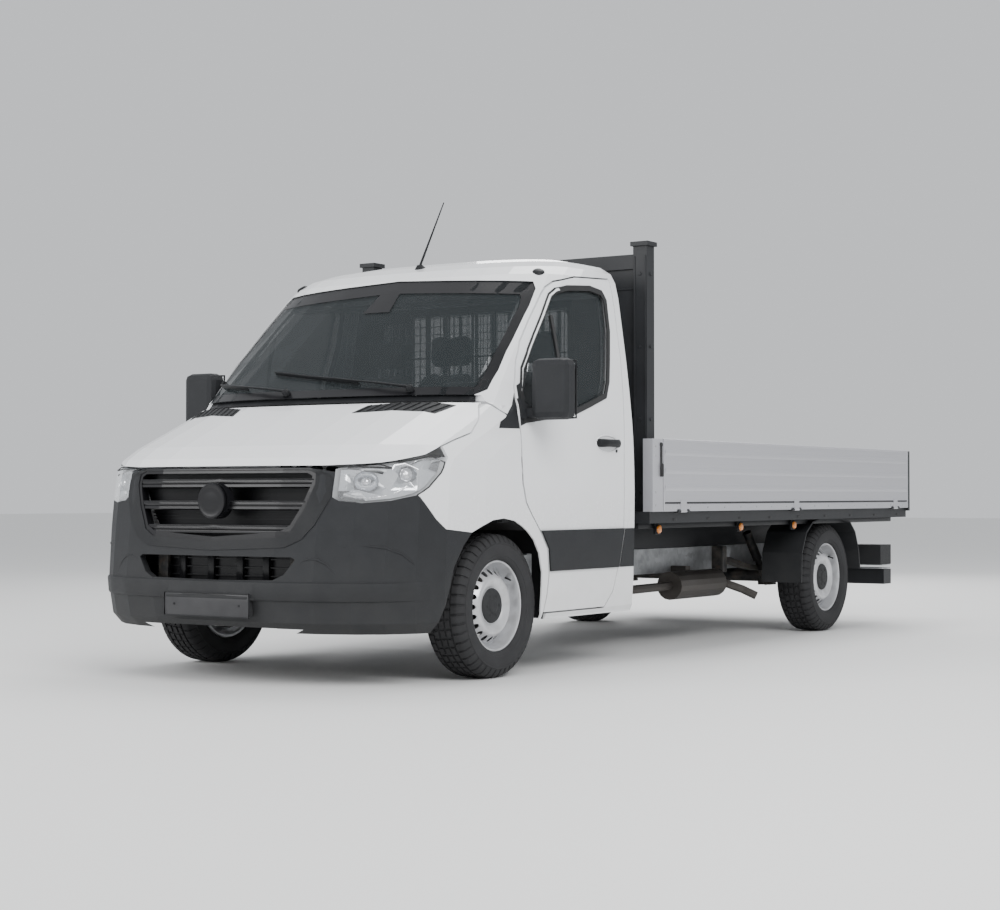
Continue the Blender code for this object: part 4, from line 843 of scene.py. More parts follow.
def from_ahead(tree, depth):
    """Lays (across, up) points on a surface from the front; depth(up) says where it is about."""
    def onto(point):
        x, z = point
        place, normal, _, _ = tree.ray_cast(Vector((x, -5.0, z)), Vector((0, 1, 0)))
        if place is None:
            place, normal, _, _ = tree.find_nearest(Vector((x, depth(z), z)))
        return place, -normal if normal.y > 0 else normal
    return onto


def matched(outer, inner, step):
    """Two outlines of equal corners, cut into equal numbers of points."""
    rows = ([], [])
    for i in range(len(outer)):
        j = (i + 1) % len(outer)
        parts = max(1, round((Vector(outer[i]) - Vector(outer[j])).length / step))
        for row, line in zip(rows, (outer, inner)):
            a, b = Vector(line[i]), Vector(line[j])
            row.extend(a.lerp(b, k / parts) for k in range(parts))
    return rows


class FLATBED_OT_frame(bpy.types.Operator):
    """Gives every CAD node its finish"""

    bl_idname = "flatbed.frame"
    bl_label = "Frame finishes"

    def execute(self, context):
        for name, node in NODES.items():
            stem = name.rsplit("_left", 1)[0].rsplit("_right", 1)[0]
            node.data.materials[0] = finish(NODE_FINISH[stem])
        return {"FINISHED"}


class FLATBED_OT_wheels(bpy.types.Operator):
    """Makes the four pressed steel wheels with their hub caps, and the treaded tyres"""

    bl_idname = "flatbed.wheels"
    bl_label = "Wheels and tyres"

    def tread_point(self, centre, side, station, pitch, part):
        """One point of the tyre's skin; part counts the cuts along one tread block."""
        r, out, cut = station
        shoulder, inner = abs(out) > .085, abs(out) < .047
        slant = out * (2.2 if inner else 0.8) + (0.5 if inner else 0.0)
        angle = 2 * math.pi * (pitch + BLOCK_CUTS[part] + slant) / sizes().tread_pitches
        fall = 0.0
        if abs(out) in GROOVE_STATIONS or (cut and part > 1):
            fall = sizes().tread_depth * (0.55 if shoulder else 1.0)
        across = out - math.copysign(fall, out) if shoulder else out
        return Vector((centre[0] + side * across, centre[1] + (r - fall) * math.sin(angle),
                       centre[2] + (r - fall) * math.cos(angle)))

    def tyre(self, row, end, side, centre):
        half = [(r, out, r > TREAD_START) for r, out in TYRE_WALL]
        half += [(TYRE_RADIUS - (out / TREAD_HALF) ** 4 * TREAD_CROWN, out, True)
                 for out in TREAD_STATIONS]
        section = [(r, -out, cut) for r, out, cut in half] + half[::-1]
        bm = bmesh.new()
        hoop(bm, [
            [self.tread_point(centre, side, station, pitch, part) for station in section]
            for pitch in range(sizes().tread_pitches) for part in range(len(BLOCK_CUTS))])
        piece(f"{row}_wheel_{end}_treaded_tyre", bm, "tyre_rubber", f"{row}_wheel_{end}", 30.0,
              (f"{row}_tyre_{end}",))

    def dish(self, r):
        """How far out the wheel's disc stands at a radius."""
        for (r0, out0), (r1, out1) in zip(WHEEL_DISH, WHEEL_DISH[1:]):
            if r <= r1:
                return out0 + (out1 - out0) * (r - r0) / (r1 - r0)
        return WHEEL_DISH[-1][1]

    def hole_ring(self, bm, at, turn, back):
        """One hole's share of the disc on one of its faces; gives the corners at the hole."""
        half, hole = math.pi / sizes().rim_holes, sizes().rim_hole
        inner, outer = DISC_INNER[-1], DISC_OUTER[0]
        low, high = HOLES_AT - .009, HOLES_AT + .009
        edge = [(inner, -half), (inner, -half / 2), (inner, 0), (inner, half / 2),
                (inner, half), (low, half), (HOLES_AT, half), (high, half),
                (outer, half), (outer, half / 2), (outer, 0), (outer, -half / 2),
                (outer, -half), (high, -half), (HOLES_AT, -half), (low, -half)]
        ring = [bm.verts.new(at(r, turn + angle, back)) for r, angle in edge]
        mouth = []
        for r, angle in edge:
            aim = math.atan2(angle * HOLES_AT, r - HOLES_AT)
            mouth.append(bm.verts.new(at(
                HOLES_AT + hole * math.cos(aim), turn + hole * math.sin(aim) / HOLES_AT, back)))
        stitch(bm, ring, mouth)
        return mouth

    def disc(self, bm, centre, side):
        """The pressed disc between the hub and the barrel, with its ring of holes."""
        def at(r, angle, back):
            out = self.dish(r) - back
            return Vector((centre[0] + side * out, centre[1] + r * math.sin(angle),
                           centre[2] + r * math.cos(angle)))

        holes = sizes().rim_holes
        for h in range(holes):
            turn = 2 * math.pi * h / holes
            mouths = [self.hole_ring(bm, at, turn, back) for back in (0.0, DISC_THICK)]
            stitch(bm, *mouths)
        angles = [2 * math.pi * k / (holes * 4) for k in range(holes * 4)]
        for radii in (DISC_INNER, DISC_OUTER):
            for back in (0.0, DISC_THICK):
                skin_over(bm, [[at(r, a, back) for a in angles] for r in radii])
        for r in (DISC_INNER[0], DISC_OUTER[-1]):
            skin_over(bm, [[at(r, a, back) for a in angles] for back in (0.0, DISC_THICK)])
        bmesh.ops.remove_doubles(bm, verts=bm.verts, dist=2e-5)

    def rim(self, row, end, side, centre):
        bm = bmesh.new()
        self.disc(bm, centre, side)
        spin(bm, WHEEL_BARREL, centre, side, 96)
        piece(f"{row}_wheel_{end}_steel_wheel", bm, "wheel_silver", f"{row}_wheel_{end}", 28.0,
              (f"{row}_rim_{end}",))

    def hub_cap(self, body, side, centre):
        cap = sizes().cap_radius
        bm = bmesh.new()
        cup(bm, [(.001, .0785), (.020, .0785), (.036, .0770), (.040, .0730), (.062, .0720),
                 (.074, .0705), (.082, .0670), (cap, .0600), (cap, .0520), (.060, .048),
                 (.001, .048)],
            centre, (side, 0, 0), 64)
        for k in range(6):
            angle = 2 * math.pi * (k + .5) / 6
            spot = (centre[0], centre[1] + .052 * math.sin(angle),
                    centre[2] + .052 * math.cos(angle))
            cup(bm, CAP_BOLT, spot, (side, 0, 0), 14)
        piece(f"{body}_hub_cap", bm, "moulded_plastic", body, 40.0)

    def valve(self, body, side, centre):
        bm = bmesh.new()
        stem = Vector((centre[0] + side * .052, centre[1] + .150, centre[2] + .126))
        away = Vector((side * .9, -.3, -.25)).normalized()
        rod(bm, [stem - away * .012, stem, stem + away * .016, stem + away * .030],
            [.0055, .0050, .0040, .0045], 10)
        piece(f"{body}_valve", bm, "seal_rubber", body)

    def execute(self, context):
        for row, along in AXLES:
            for end, side in SIDES:
                centre = (side * WHEEL_SIDE, along + SHIFT, TYRE_RADIUS)
                self.tyre(row, end, side, centre)
                self.rim(row, end, side, centre)
                self.hub_cap(f"{row}_wheel_{end}", side, centre)
                self.valve(f"{row}_wheel_{end}", side, centre)
        return {"FINISHED"}


class FLATBED_OT_front(bpy.types.Operator):
    """Makes the grille's blades and surround, the inlet's screen, the blank plate and creases"""

    bl_idname = "flatbed.front"
    bl_label = "Grille and bumper"

    def screens(self):
        bm = bmesh.new()
        plate(bm, inset(mirrored(GRILLE_HALF), .004), GRILLE_SCREEN, .004)
        for z in (.770, .785, .800, .880, .895, .910):
            block(bm, (-.50, GRILLE_SCREEN - .006, z - .002),
                  (.50, GRILLE_SCREEN + .0005, z + .002))
        piece("grille_screen", bm, "gloss_trim", "truck", 30.0)
        bm = bmesh.new()
        wide = [(0, .470), (.560, .470), (.620, .540), (.600, .625), (0, .625)]
        plate(bm, mirrored(wide), INLET_SCREEN, .004)
        for x in (-.30, -.12, .06, .22):
            block(bm, (x - .02, INLET_SCREEN - .025, .485), (x + .02, INLET_SCREEN + .001, .61),
                  .004)
        for z in (.505, .545, .585):
            block(bm, (-.50, INLET_SCREEN - .016, z - .0025),
                  (.50, INLET_SCREEN + .001, z + .0025))
        piece("inlet_screen", bm, "gloss_trim", "truck", 30.0)

    def blades(self):
        """Three blades across the grille, level with it at each place but behind the centre."""
        onto = from_ahead(skin_of("grille"), lambda z: -3.0)
        shape = bmesh.new()
        edge = bmesh.new()
        for high, low, reach in ((.955, .930, .535), (.853, .827, .505), (.740, .715, .425)):
            stations = []
            for k in range(33):
                x = -reach + 2 * reach * k / 32
                beside = math.copysign(max(abs(x), .105), x if x else 1)
                stations.append((x, onto((beside, high))[0].y))
            loft(shape, [[
                Vector((x, y + .001, high - .002)), Vector((x, y - .001, high - .009)),
                Vector((x, y + .006, low - .002)), Vector((x, y + .040, low - .012)),
                Vector((x, y + .052, low - .006)), Vector((x, y + .046, high - .010))]
                for x, y in stations])
            for z in (high + .003, low + .002):
                rod(edge, [(x, y - .0005, z) for x, y in stations], .0026, 6)
        piece("grille_blades", shape, "gloss_trim", "truck", 30.0)
        piece("grille_blade_edges", edge, "satin_trim", "truck")

    def surround(self):
        onto = from_ahead(skin_of("front_bumper", "grille"), lambda z: -3.0)
        outer = [(0, .628), (.420, .645), (.505, .683), (.566, .750), (.628, .878),
                 (.628, .998), (.560, 1.003), (0, 1.003)]
        inner = [(0, .668), (.388, .692), (.450, .724), (.508, .828), (.548, .936),
                 (.543, .985), (.503, 1.001), (0, 1.001)]
        bm = bmesh.new()
        laid_band(bm, *matched(mirrored(outer), mirrored(inner), .035), onto, .0035, .002)
        piece("grille_surround", bm, "satin_trim", "truck", 30.0)

    def centre(self):
        bm = bmesh.new()
        cup(bm, CENTRE_DISC, (0, -3.0435, .859), (0, -1, 0), 56)
        piece("grille_centre", bm, "gloss_trim", "truck", 30.0)

    def number_plate(self):
        wide, tall = sizes().plate_width / 2, sizes().plate_height / 2
        face = PLATE_FACE - .008
        bm = bmesh.new()
        block(bm, (-wide, face, PLATE_MIDDLE - tall), (wide, PLATE_FACE, PLATE_MIDDLE + tall),
              .003)
        piece("blank_plate", bm, "blank_plate", "truck", 30.0)
        bm = bmesh.new()
        rim = [Vector((x, face - .0005, PLATE_MIDDLE + z)) for x, z in
               ((-wide, -tall), (wide, -tall), (wide, tall), (-wide, tall))]
        rod(bm, rim, .0035, 6, closed=True)
        for x in (-.20, .20):
            cup(bm, PLATE_SCREW, (x, face, PLATE_MIDDLE), (0, -1, 0), 14)
        piece("plate_rim", bm, "satin_trim", "truck", 30.0)

    def creases(self, tree):
        """Two soft ridges a side, along lines that the photograph shows at these pixels."""
        arcs = (
            ((326, 549), (345, 547), (365, 546), (385, 548), (402, 554), (413, 563),
             (419, 573), (421, 580)),
            ((296, 569), (301, 562), (309, 559), (318, 560), (327, 565), (333, 572),
             (337, 580)))
        for end, side in SIDES:
            bm = bmesh.new()
            for arc in arcs:
                hits = [seen_at(tree, *spot) for spot in arc]
                last = len(arc) - 1
                radii = [.0085 * min(1.0, .25 + 1.5 * min(k, last - k) / last)
                         for k in range(last + 1)]
                rod(bm, [flipped(p - n * .003, side) for p, n in hits], radii, 10)
            piece(f"bumper_crease_{end}", bm, "moulded_plastic", "truck", 60.0)

    def belt(self, tree):
        """The raised band round the bumper's foot, flat behind the number plate."""
        section = ((.398, -.002), (.403, .0065), (.412, .0095), (.474, .0095), (.484, .0085),
                   (.492, -.002))
        highest, sweep, steps = .486, 78, 60
        rings = []
        for k in range(steps + 1):
            degrees = -sweep + 2 * sweep * k / steps
            turn, fade = math.radians(degrees), min(1.0, (sweep - abs(degrees)) / 14)
            aim = Vector((-math.sin(turn), math.cos(turn), 0))
            start = Vector((0, BELT_CENTRE, 0)) - aim * 2.5
            ring = []
            for z, out in section:
                place, normal = touch(tree, start + Vector((0, 0, min(z, highest))), aim)
                place.z = z
                level = Vector((normal.x, normal.y, 0)).normalized()
                ring.append(place + level * (out * fade if out > 0 else out))
            if abs(ring[2].x) < .275:
                for p in ring:
                    p.y = min(p.y, PLATE_FACE) if p.y < -3.07 else p.y
            rings.append(ring)
        bm = bmesh.new()
        loft(bm, rings)
        piece("bumper_belt", bm, "moulded_plastic", "truck", 30.0)

    def execute(self, context):
        bumper = skin_of("front_bumper")
        self.screens()
        self.blades()
        self.surround()
        self.centre()
        self.number_plate()
        self.creases(bumper)
        self.belt(bumper)
        return {"FINISHED"}


class FLATBED_OT_lamps(bpy.types.Operator):
    """Makes the reflectors, bulbs, strips and seals of the two headlamps"""

    bl_idname = "flatbed.lamps"
    bl_label = "Headlamps"

    def carve(self, target, centre, radius):
        """Cuts a round hollow into the reflector."""
        bm = bmesh.new()
        bmesh.ops.create_uvsphere(
            bm, u_segments=40, v_segments=24, radius=radius,
            matrix=Matrix.Translation(centre) @ Matrix.Diagonal((1.0, 1.0, .82, 1.0)))
        cutter = as_object("hollow", bm)
        cut = target.modifiers.new("hollow", "BOOLEAN")
        cut.operation, cut.solver, cut.object = "DIFFERENCE", "EXACT", cutter
        settle(target)
        bpy.data.objects.remove(cutter)

    def reflector(self, end, side, tree):
        """The lamp's own shape made smaller, with a hollow behind each bulb."""
        lens = NODES[f"headlamp_{end}"].data
        middle = sum((v.co for v in lens.vertices), Vector()) / len(lens.vertices)
        bm = bmesh.new()
        bm.from_mesh(lens)
        bmesh.ops.remove_doubles(bm, verts=bm.verts, dist=1e-5)
        for v in bm.verts:
            v.co = middle + (v.co - middle) * .90
        body = piece(f"headlamp_reflector_{end}", bm, "reflector", "truck", 40.0)
        for spot, radius in (((366, 481), .058), ((408, 474), .046)):
            place, normal = seen_at(tree, *spot)
            self.carve(body, flipped(place - normal * .012, side), radius)
        smoothed(body.data, 40.0)

    def bulb(self, name, spot, radius, look, side, tree):
        place, normal = seen_at(tree, *spot)
        bm = bmesh.new()
        cup(bm, [(.001, .010), (radius * .5, .0085), (radius * .86, .004), (radius, -.002),
                 (radius * 1.12, -.003), (radius * 1.12, -.014), (.001, -.030)],
            flipped(place - normal * .024, side), flipped(normal, side), 36)
        piece(name, bm, look, "truck", 35.0)

    def strip(self, end, side, tree):
        spots = ((343, 494), (355, 497), (370, 498), (385, 496), (398, 492), (408, 486))
        hits = [seen_at(tree, *spot) for spot in spots]
        bm = bmesh.new()
        rod(bm, [flipped(place - normal * .014, side) for place, normal in hits], .0085, 10)
        piece(f"headlamp_strip_{end}", bm, "fluted_reflector", "truck", 60.0)

    def seal(self, end, side, tree):
        """A thin seal along the lamp's upper and outer edge."""
        line = []
        for along, high in walk(LAMP_EDGE, .03)[:-7]:
            beside = Vector((3.0, along + SHIFT, high))
            hit = tree.ray_cast(beside, Vector((-1, 0, 0)))[0]
            place, _, _, _ = tree.find_nearest(hit or Vector((.90, along + SHIFT, high)))
            place = flipped(place, side)
            if not line or (place - line[-1]).length > .012:
                line.append(place)
        bm = bmesh.new()
        rod(bm, line, sizes().seal * .42, 8)
        piece(f"headlamp_seal_{end}", bm, "seal_rubber", "truck", 60.0)

    def execute(self, context):
        tree = skin_of("headlamp_left")
        for end, side in SIDES:
            NODES[f"headlamp_{end}"].data.materials[0] = finish("clear_lens")
            self.reflector(end, side, tree)
            self.bulb(f"headlamp_bulb_{end}", (366, 481), .020, "reflector", side, tree)
            self.bulb(f"headlamp_beam_{end}", (408, 474), .027, "fluted_reflector", side, tree)
            self.strip(end, side, tree)
            self.seal(end, side, tree)
        return {"FINISHED"}


class FLATBED_OT_glazing(bpy.types.Operator):
    """Makes the windscreen's black edge, the wipers, the bonnet vents and the inner mirror"""

    bl_idname = "flatbed.glazing"
    bl_label = "Windscreen and bonnet"

    def black_edge(self, onto):
        edge = sizes().glass_edge
        outline = mirrored([(x * .998, z + (.0012 if z < 1.4 else -.002)) for x, z in GLASS_HALF])
        inner = inset(outline, edge)
        for p in inner:
            if p.y > 1.90:
                p.y -= edge * .8
        bm = bmesh.new()
        laid_band(bm, *matched(outline, inner, .05), onto, .0012, .0006)
        piece("windscreen_edge", bm, "gloss_trim", "truck", 40.0)
        bm = bmesh.new()
        patch = quad_grid(((-.085, 1.84), (.085, 1.84), (.060, 1.965), (-.060, 1.965)), 5, 5)
        laid_sheet(bm, patch, onto, .0013, .0006)
        piece("windscreen_sensor_patch", bm, "gloss_trim", "truck", 40.0)

    def wiper(self, name, foot, tip, blade, onto):
        """A wiper from its foot to its tip, (across, up), with a blade under it."""
        bm = bmesh.new()
        foot, tip = Vector(foot), Vector(tip)
        start, raised = onto(foot)
        arm = [start + raised * .012 + Vector((0, -.010, -.015)), start + raised * .026]
        for k in (.25, .5, .75, 1.0):
            place, normal = onto(foot.lerp(tip, k))
            arm.append(place + normal * (.030 - .008 * k))
        rod(bm, arm, [.013, .011, .009, .007, .006, .005], 8, flat=.7)
        cup(bm, [(.001, .034), (.012, .033), (.019, .024), (.021, .004), (.001, -.004)],
            start, raised, 20)
        bar, rubber = [], []
        for k in range(13):
            spot = tip + (foot - tip).normalized() * blade * (k / 6 - 1) * .98
            spot = Vector((max(-.80, min(.80, spot.x)), max(1.392, spot.y)))
            place, normal = onto(spot)
            bar.append(place + normal * .018)
            rubber.append(place + normal * .007)
        rod(bm, bar, [.003] + [.0065] * 11 + [.003], 6)
        rod(bm, rubber, .0055, 6)
        piece(name, bm, "satin_trim", "truck", 40.0)

    def vent(self, end, side, hood):
        """A slatted vent at the back of the bonnet."""
        def onto(point):
            return touch(hood, (point[0], point[1], 2.5), (0, 0, -1))

        corners = [Vector((side * x, y + SHIFT)) for x, y in
                   ((.377, -.408), (.779, -.283), (.819, -.160), (.404, -.315))]
        a, b, c, d = corners
        bm = bmesh.new()
        laid_sheet(bm, quad_grid(corners, 14, 5), onto, .0018, .001)
        slats = sizes().vent_slats
        for k in range(slats):
            t = (k + .5) / slats
            low, high = a.lerp(b, t), d.lerp(c, t)
            hits = [onto(low.lerp(high, .06 + .88 * m / 4)) for m in range(5)]
            rod(bm, [place + normal * .003 for place, normal in hits], .0035, 6)
        piece(f"bonnet_vent_{end}", bm, "satin_trim", "bonnet", 35.0)

    def inner_mirror(self, onto):
        bm = bmesh.new()
        place, normal = onto((0.0, 1.885))
        inside = place - normal * .012
        rod(bm, [inside, inside - normal * .03, inside + Vector((0, .06, -.035))], .007, 8)
        hang = inside + Vector((0, .075, -.055))
        block(bm, hang - Vector((.125, .012, .032)), hang + Vector((.125, .012, .032)), .011, 3)
        piece("inner_mirror", bm, "satin_trim", "truck", 40.0)

    def execute(self, context):
        onto = from_ahead(skin_of("windscreen"), lambda z: -2.0 + (z - 1.37) * .9)
        self.black_edge(onto)
        self.wiper("wiper_1", (.560, 1.395), (-.060, 1.470), .31, onto)
        self.wiper("wiper_2", (-.180, 1.392), (-.760, 1.455), .28, onto)
        hood = skin_of("bonnet")
        for end, side in SIDES:
            self.vent(end, side, hood)
        self.inner_mirror(onto)
        return {"FINISHED"}


class FLATBED_OT_doors(bpy.types.Operator):
    """Makes the doors' seals, dividers, handles, mirror glass, mirror corners and inner cards"""

    bl_idname = "flatbed.doors"
    bl_label = "Doors"

    def across(self, tree, side, outwards):
        """Lays (along, up) points on a door, from outside the truck or from inside it."""
        start, near = (side * 3, side * .95) if outwards else (0, side * .80)
        aim = Vector((-side if outwards else side, 0, 0))

        def onto(point):
            y, z = point[0] + SHIFT, point[1]
            place, normal, _, _ = tree.ray_cast(Vector((start, y, z)), aim)
            if place is None or outwards and abs(place.x) < .6:
                place, normal, _, _ = tree.find_nearest(Vector((near, y, z)))
            faces_out = normal.x * side > 0
            return place, normal if faces_out == outwards else -normal
        return onto

    def window_seal(self, end, side, outside, glass):
        """The seal round the window, and the bar that divides it."""
        wide = sizes().seal
        outline = inset(DOOR_WINDOW, -.004 - 1.4 * wide)
        outer, edge = matched(outline, inset(DOOR_WINDOW, -.0035), .03)
        inner = matched(outline, inset(DOOR_WINDOW, .012), .03)[1]

        def lips(pair):
            cast, real = pair
            place, normal = outside(cast)
            return Vector((place.x, real.x + SHIFT, real.y)), normal

        bm = bmesh.new()
        laid_band(bm, list(zip(outer, outer)), list(zip(edge, inner)), lips, .0038, .004)
        piece(f"window_seal_{end}", bm, "seal_rubber", f"door_{end}", 40.0)
        low, high, steps = 1.338, 1.868, 8
        bar = []
        for k in range(steps + 1):
            start = Vector((side * 3, DIVIDER_PLACE + SHIFT, low + (high - low) * k / steps))
            place, _, _, _ = glass.ray_cast(start, Vector((-side, 0, 0)))
            if place:
                bar.append(place + Vector((side * .002, 0, 0)))
        bm = bmesh.new()
        rod(bm, bar, .011, 8)
        piece(f"window_divider_{end}", bm, "seal_rubber", f"door_{end}", 60.0)

    def handle(self, end, side, outside):
        body = f"door_{end}"
        bm = bmesh.new()
        oval = [outside((HANDLE_PLACE + .116 * math.cos(t), 1.154 + .043 * math.sin(t)))[0]
                for t in (2 * math.pi * k / 40 for k in range(40))]
        rod(bm, oval, .0045, 8, closed=True)
        piece(f"handle_dish_{end}", bm, "coat_paint", body, 60.0)
        half = sizes().handle / 2
        bow = ((-half, -.004), (-half + .004, .014), (-half + .022, .026), (-half / 2, .031),
               (0, .032), (half / 2, .031), (half - .022, .026), (half - .004, .014),
               (half, -.004))
        line = [outside((HANDLE_PLACE + along, HANDLE_HEIGHT))[0] + Vector((side * out, 0, 0))
                for along, out in bow]
        bm = bmesh.new()
        rod(bm, line, [.012, .013, .013, .012, .012, .012, .013, .013, .012], 14, flat=1.7)
        cup(bm, DOOR_LOCK, outside((1.064, 1.118))[0], (side, 0, 0), 18)
        piece(f"door_handle_{end}", bm, "satin_trim", body, 40.0)

    def mirror(self, end, side, outside):
        """The corner that carries the mirror, its two glasses and the rim round them."""
        body = f"door_{end}"
        corner = quad_grid(((.140, 1.224), (.180, 1.236), (.205, 1.445), (.170, 1.425)), 4, 8)
        bm = bmesh.new()
        laid_sheet(bm, corner, outside, .0022, .002)
        piece(f"mirror_corner_{end}", bm, "moulded_plastic", body, 40.0)
        bm = bmesh.new()
        for low, high in ((1.345, 1.532), (1.272, 1.334)):
            block(bm, (side * 1.050, MIRROR_GLASS, low), (side * 1.216, MIRROR_GLASS + .004, high),
                  .0015)
        piece(f"mirror_glass_{end}", bm, "mirror_glass", body, 30.0)
        ring = [(side * x, MIRROR_GLASS, z) for x, z in
                ((1.040, 1.264), (1.226, 1.264), (1.226, 1.545), (1.040, 1.545))]
        bm = bmesh.new()
        rod(bm, walk(ring, .04), .0055, 8, closed=True)
        rod(bm, [(side * x, MIRROR_GLASS + .001, 1.3395) for x in (1.045, 1.221)], .0050, 8)
        piece(f"mirror_rim_{end}", bm, "satin_trim", body, 60.0)

    def card(self, end, inside):
        """The door's inner card with its pocket and arm rest, and the window's lining."""
        bm = bmesh.new()
        sheet = quad_grid(((.27, .43), (1.06, .43), (1.10, 1.235), (.24, 1.205)), 18, 14)
        laid_sheet(bm, sheet, inside, .006, .001)
        pocket = [inside(spot) for spot in ((.42, .52), (.70, .50), (.98, .52))]
        rod(bm, [p + n * .020 for p, n in pocket], [.030, .038, .030], 12)
        rest = [inside((y, 1.00)) for y in (.46, .60, .78, .94)]
        rod(bm, [p + n * .022 for p, n in rest], [.022, .032, .032, .024], 12)
        piece(f"door_card_{end}", bm, "satin_trim", f"door_{end}", 40.0)
        bm = bmesh.new()
        outer, inner = inset(DOOR_WINDOW, -.042), inset(DOOR_WINDOW, -.006)
        laid_band(bm, *matched(outer, inner, .06), inside, .003, .001)
        piece(f"window_lining_{end}", bm, "satin_trim", f"door_{end}", 40.0)

    def execute(self, context):
        for end, side in SIDES:
            skin = skin_of(f"door_{end}")
            outside = self.across(skin, side, True)
            inside = self.across(skin, side, False)
            self.window_seal(end, side, outside, skin_of(f"door_glass_{end}"))
            self.handle(end, side, outside)
            self.mirror(end, side, outside)
            self.card(end, inside)
        return {"FINISHED"}


class FLATBED_OT_cab(bpy.types.Operator):
    """Makes the cab's linings, dash pieces, guard wires, mirror corners and rear corner trim"""

    bl_idname = "flatbed.cab"
    bl_label = "Cab trim"

    def sheets(self):
        """The roof lining, the lining round the rear window and the floor mat."""
        shell = skin_of("cab_shell")

        def reach(aim, spread):
            aim = Vector(aim)

            def onto(point):
                start = spread(point)
                place, normal, _, _ = shell.ray_cast(start, aim)
                if place is None or (place - start).length > .7:
                    place, normal, _, _ = shell.find_nearest(start + aim * .3)
                return place, -normal if normal.dot(aim) > 0 else normal
            return onto

        up = reach((0, 0, 1), lambda p: Vector((p[0], p[1] + SHIFT, 1.75)))
        rear = reach((0, 1, 0), lambda p: Vector((p[0], 1.00 + SHIFT, p[1])))
        down = reach((0, 0, -1), lambda p: Vector((p[0], p[1] + SHIFT, .60)))
        bm = bmesh.new()
        grid = quad_grid(((-.56, .72), (.56, .72), (.70, 1.17), (-.70, 1.17)), 15, 8)
        laid_sheet(bm, grid, up, .010, .001)
        outer = [(-.86, .70), (.86, .70), (.86, 1.55), (.80, 1.95), (-.80, 1.95), (-.86, 1.55)]
        inner = [(-.632, 1.418), (.632, 1.418), (.632, 1.66), (.632, 1.912), (-.632, 1.912),
                 (-.632, 1.66)]
        laid_band(bm, *matched(outer, inner, .08), rear, .006, .001)
        piece("cab_lining", bm, "satin_trim", "truck", 40.0)
        bm = bmesh.new()
        grid = quad_grid(((-.70, .36), (.70, .36), (.70, 1.10), (-.70, 1.10)), 15, 10)
        laid_sheet(bm, grid, down, .008, .001)
        piece("floor_mat", bm, "seal_rubber", "truck", 40.0)

    def behind_glass(self, name, glass, spots):
        """A round trim bar behind the windscreen, along (across, up) spots."""
        line = []
        for x, z in spots:
            place, normal = touch(glass, (x, -5.0, z), (0, 1, 0))
            line.append(place - normal * .034)
        bm = bmesh.new()
        rod(bm, line, .022, 10)
        piece(name, bm, "satin_trim", "truck", 60.0)

    def windscreen_trim(self, end, side, glass):
        pillar = ((.838, 1.44), (.848, 1.52), (.838, 1.645), (.826, 1.75), (.812, 1.85),
                  (.792, 1.925))
        self.behind_glass(f"pillar_trim_{end}", glass, [(side * x, z) for x, z in pillar])
        self.behind_glass(f"header_trim_{end}", glass, [
            (side * x, 1.985 - .04 * (x / .74) ** 2) for x in (.0, .3, .55, .74)])
        bm = bmesh.new()
        for spans in ((.06, .40), (.44, .72)) if side > 0 else ((.06, .72),):
            fold = [touch(glass, (side * x, -5.0, 1.955), (0, 1, 0))[0] for x in spans]
            low = Vector((min(p.x for p in fold), fold[0].y + .050, 1.890))
            high = Vector((max(p.x for p in fold), fold[0].y + .190, 1.905))
            block(bm, low, high, .006)
        piece(f"sun_visor_{end}", bm, "bolster_cloth", "truck", 40.0)

    def dash(self):
        bm = bmesh.new()
        block(bm, (.235, -1.870, 1.262), (.565, -1.745, 1.335), .020, 3)
        block(bm, (-.135, -1.735, 1.180), (.150, -1.700, 1.312), .010, 3)
        block(bm, (-.150, -1.700, .930), (.160, -1.650, 1.140), .014, 3)
        block(bm, (-.800, -1.690, 1.020), (-.230, -1.664, 1.150), .012, 3)
        gear_knob = ((.001, .150), (.018, .148), (.024, .135), (.022, .110), (.010, .095),
                     (.009, .0), (.030, -.004), (.001, -.006))
        cup(bm, gear_knob, (.085, -1.660, 1.060), (0, .62, .78), 18)
        piece("dash_pieces", bm, "satin_trim", "truck", 40.0)
        screen, slats = bmesh.new(), bmesh.new()
        block(screen, (-.118, -1.7005, 1.194), (.133, -1.6965, 1.298), .002)
        for x in (-.77, -.20, .19, .66):
            block(screen, (x, -1.676, 1.215), (x + .11, -1.668, 1.262), .004)
            for k in range(4):
                z = 1.222 + k * .011
                block(slats, (x + .004, -1.670, z), (x + .106, -1.6645, z + .003), .001, 1)
        piece("dash_screen", screen, "gloss_trim", "truck", 40.0)
        piece("dash_vents", slats, "satin_trim", "truck", 40.0)
        bm = bmesh.new()
        tilt = math.radians(28)
        cup(bm, [(.001, .026), (.040, .024), (.060, .018), (.070, .008), (.072, -.012),
                 (.001, -.020)],
            (.400, .520 + SHIFT, 1.275), (0, math.cos(tilt), math.sin(tilt)), 40)
        piece("wheel_pad", bm, "satin_trim", "truck", 40.0)

    def guard(self):
        """The fine wires of the guard's window, upright and level."""
        half, low, high = .655, 1.395, 1.935
        wires, rows = sizes().mesh_wires, 12
        bm = bmesh.new()
        for k in range(1, wires):
            x = -half + 2 * half * k / wires
            rod(bm, [(x, -.8575, low), (x, -.8575, high)], .0022, 6)
        for k in range(1, rows):
            z = low + (high - low) * k / rows
            rod(bm, [(-half, -.8530, z), (half, -.8530, z)], .0022, 6)
        piece("guard_wires", bm, "zinc_coat", "truck", 60.0)

    def pillar_corner(self, end, side, skin):
        """The dark corner on the fender ahead of the door, from (up, along, along) rows."""
        rows = ((1.217, -.046, .131), (1.256, -.029, .131), (1.298, .012, .131),
                (1.335, .050, .136), (1.370, .086, .143), (1.405, .122, .150))

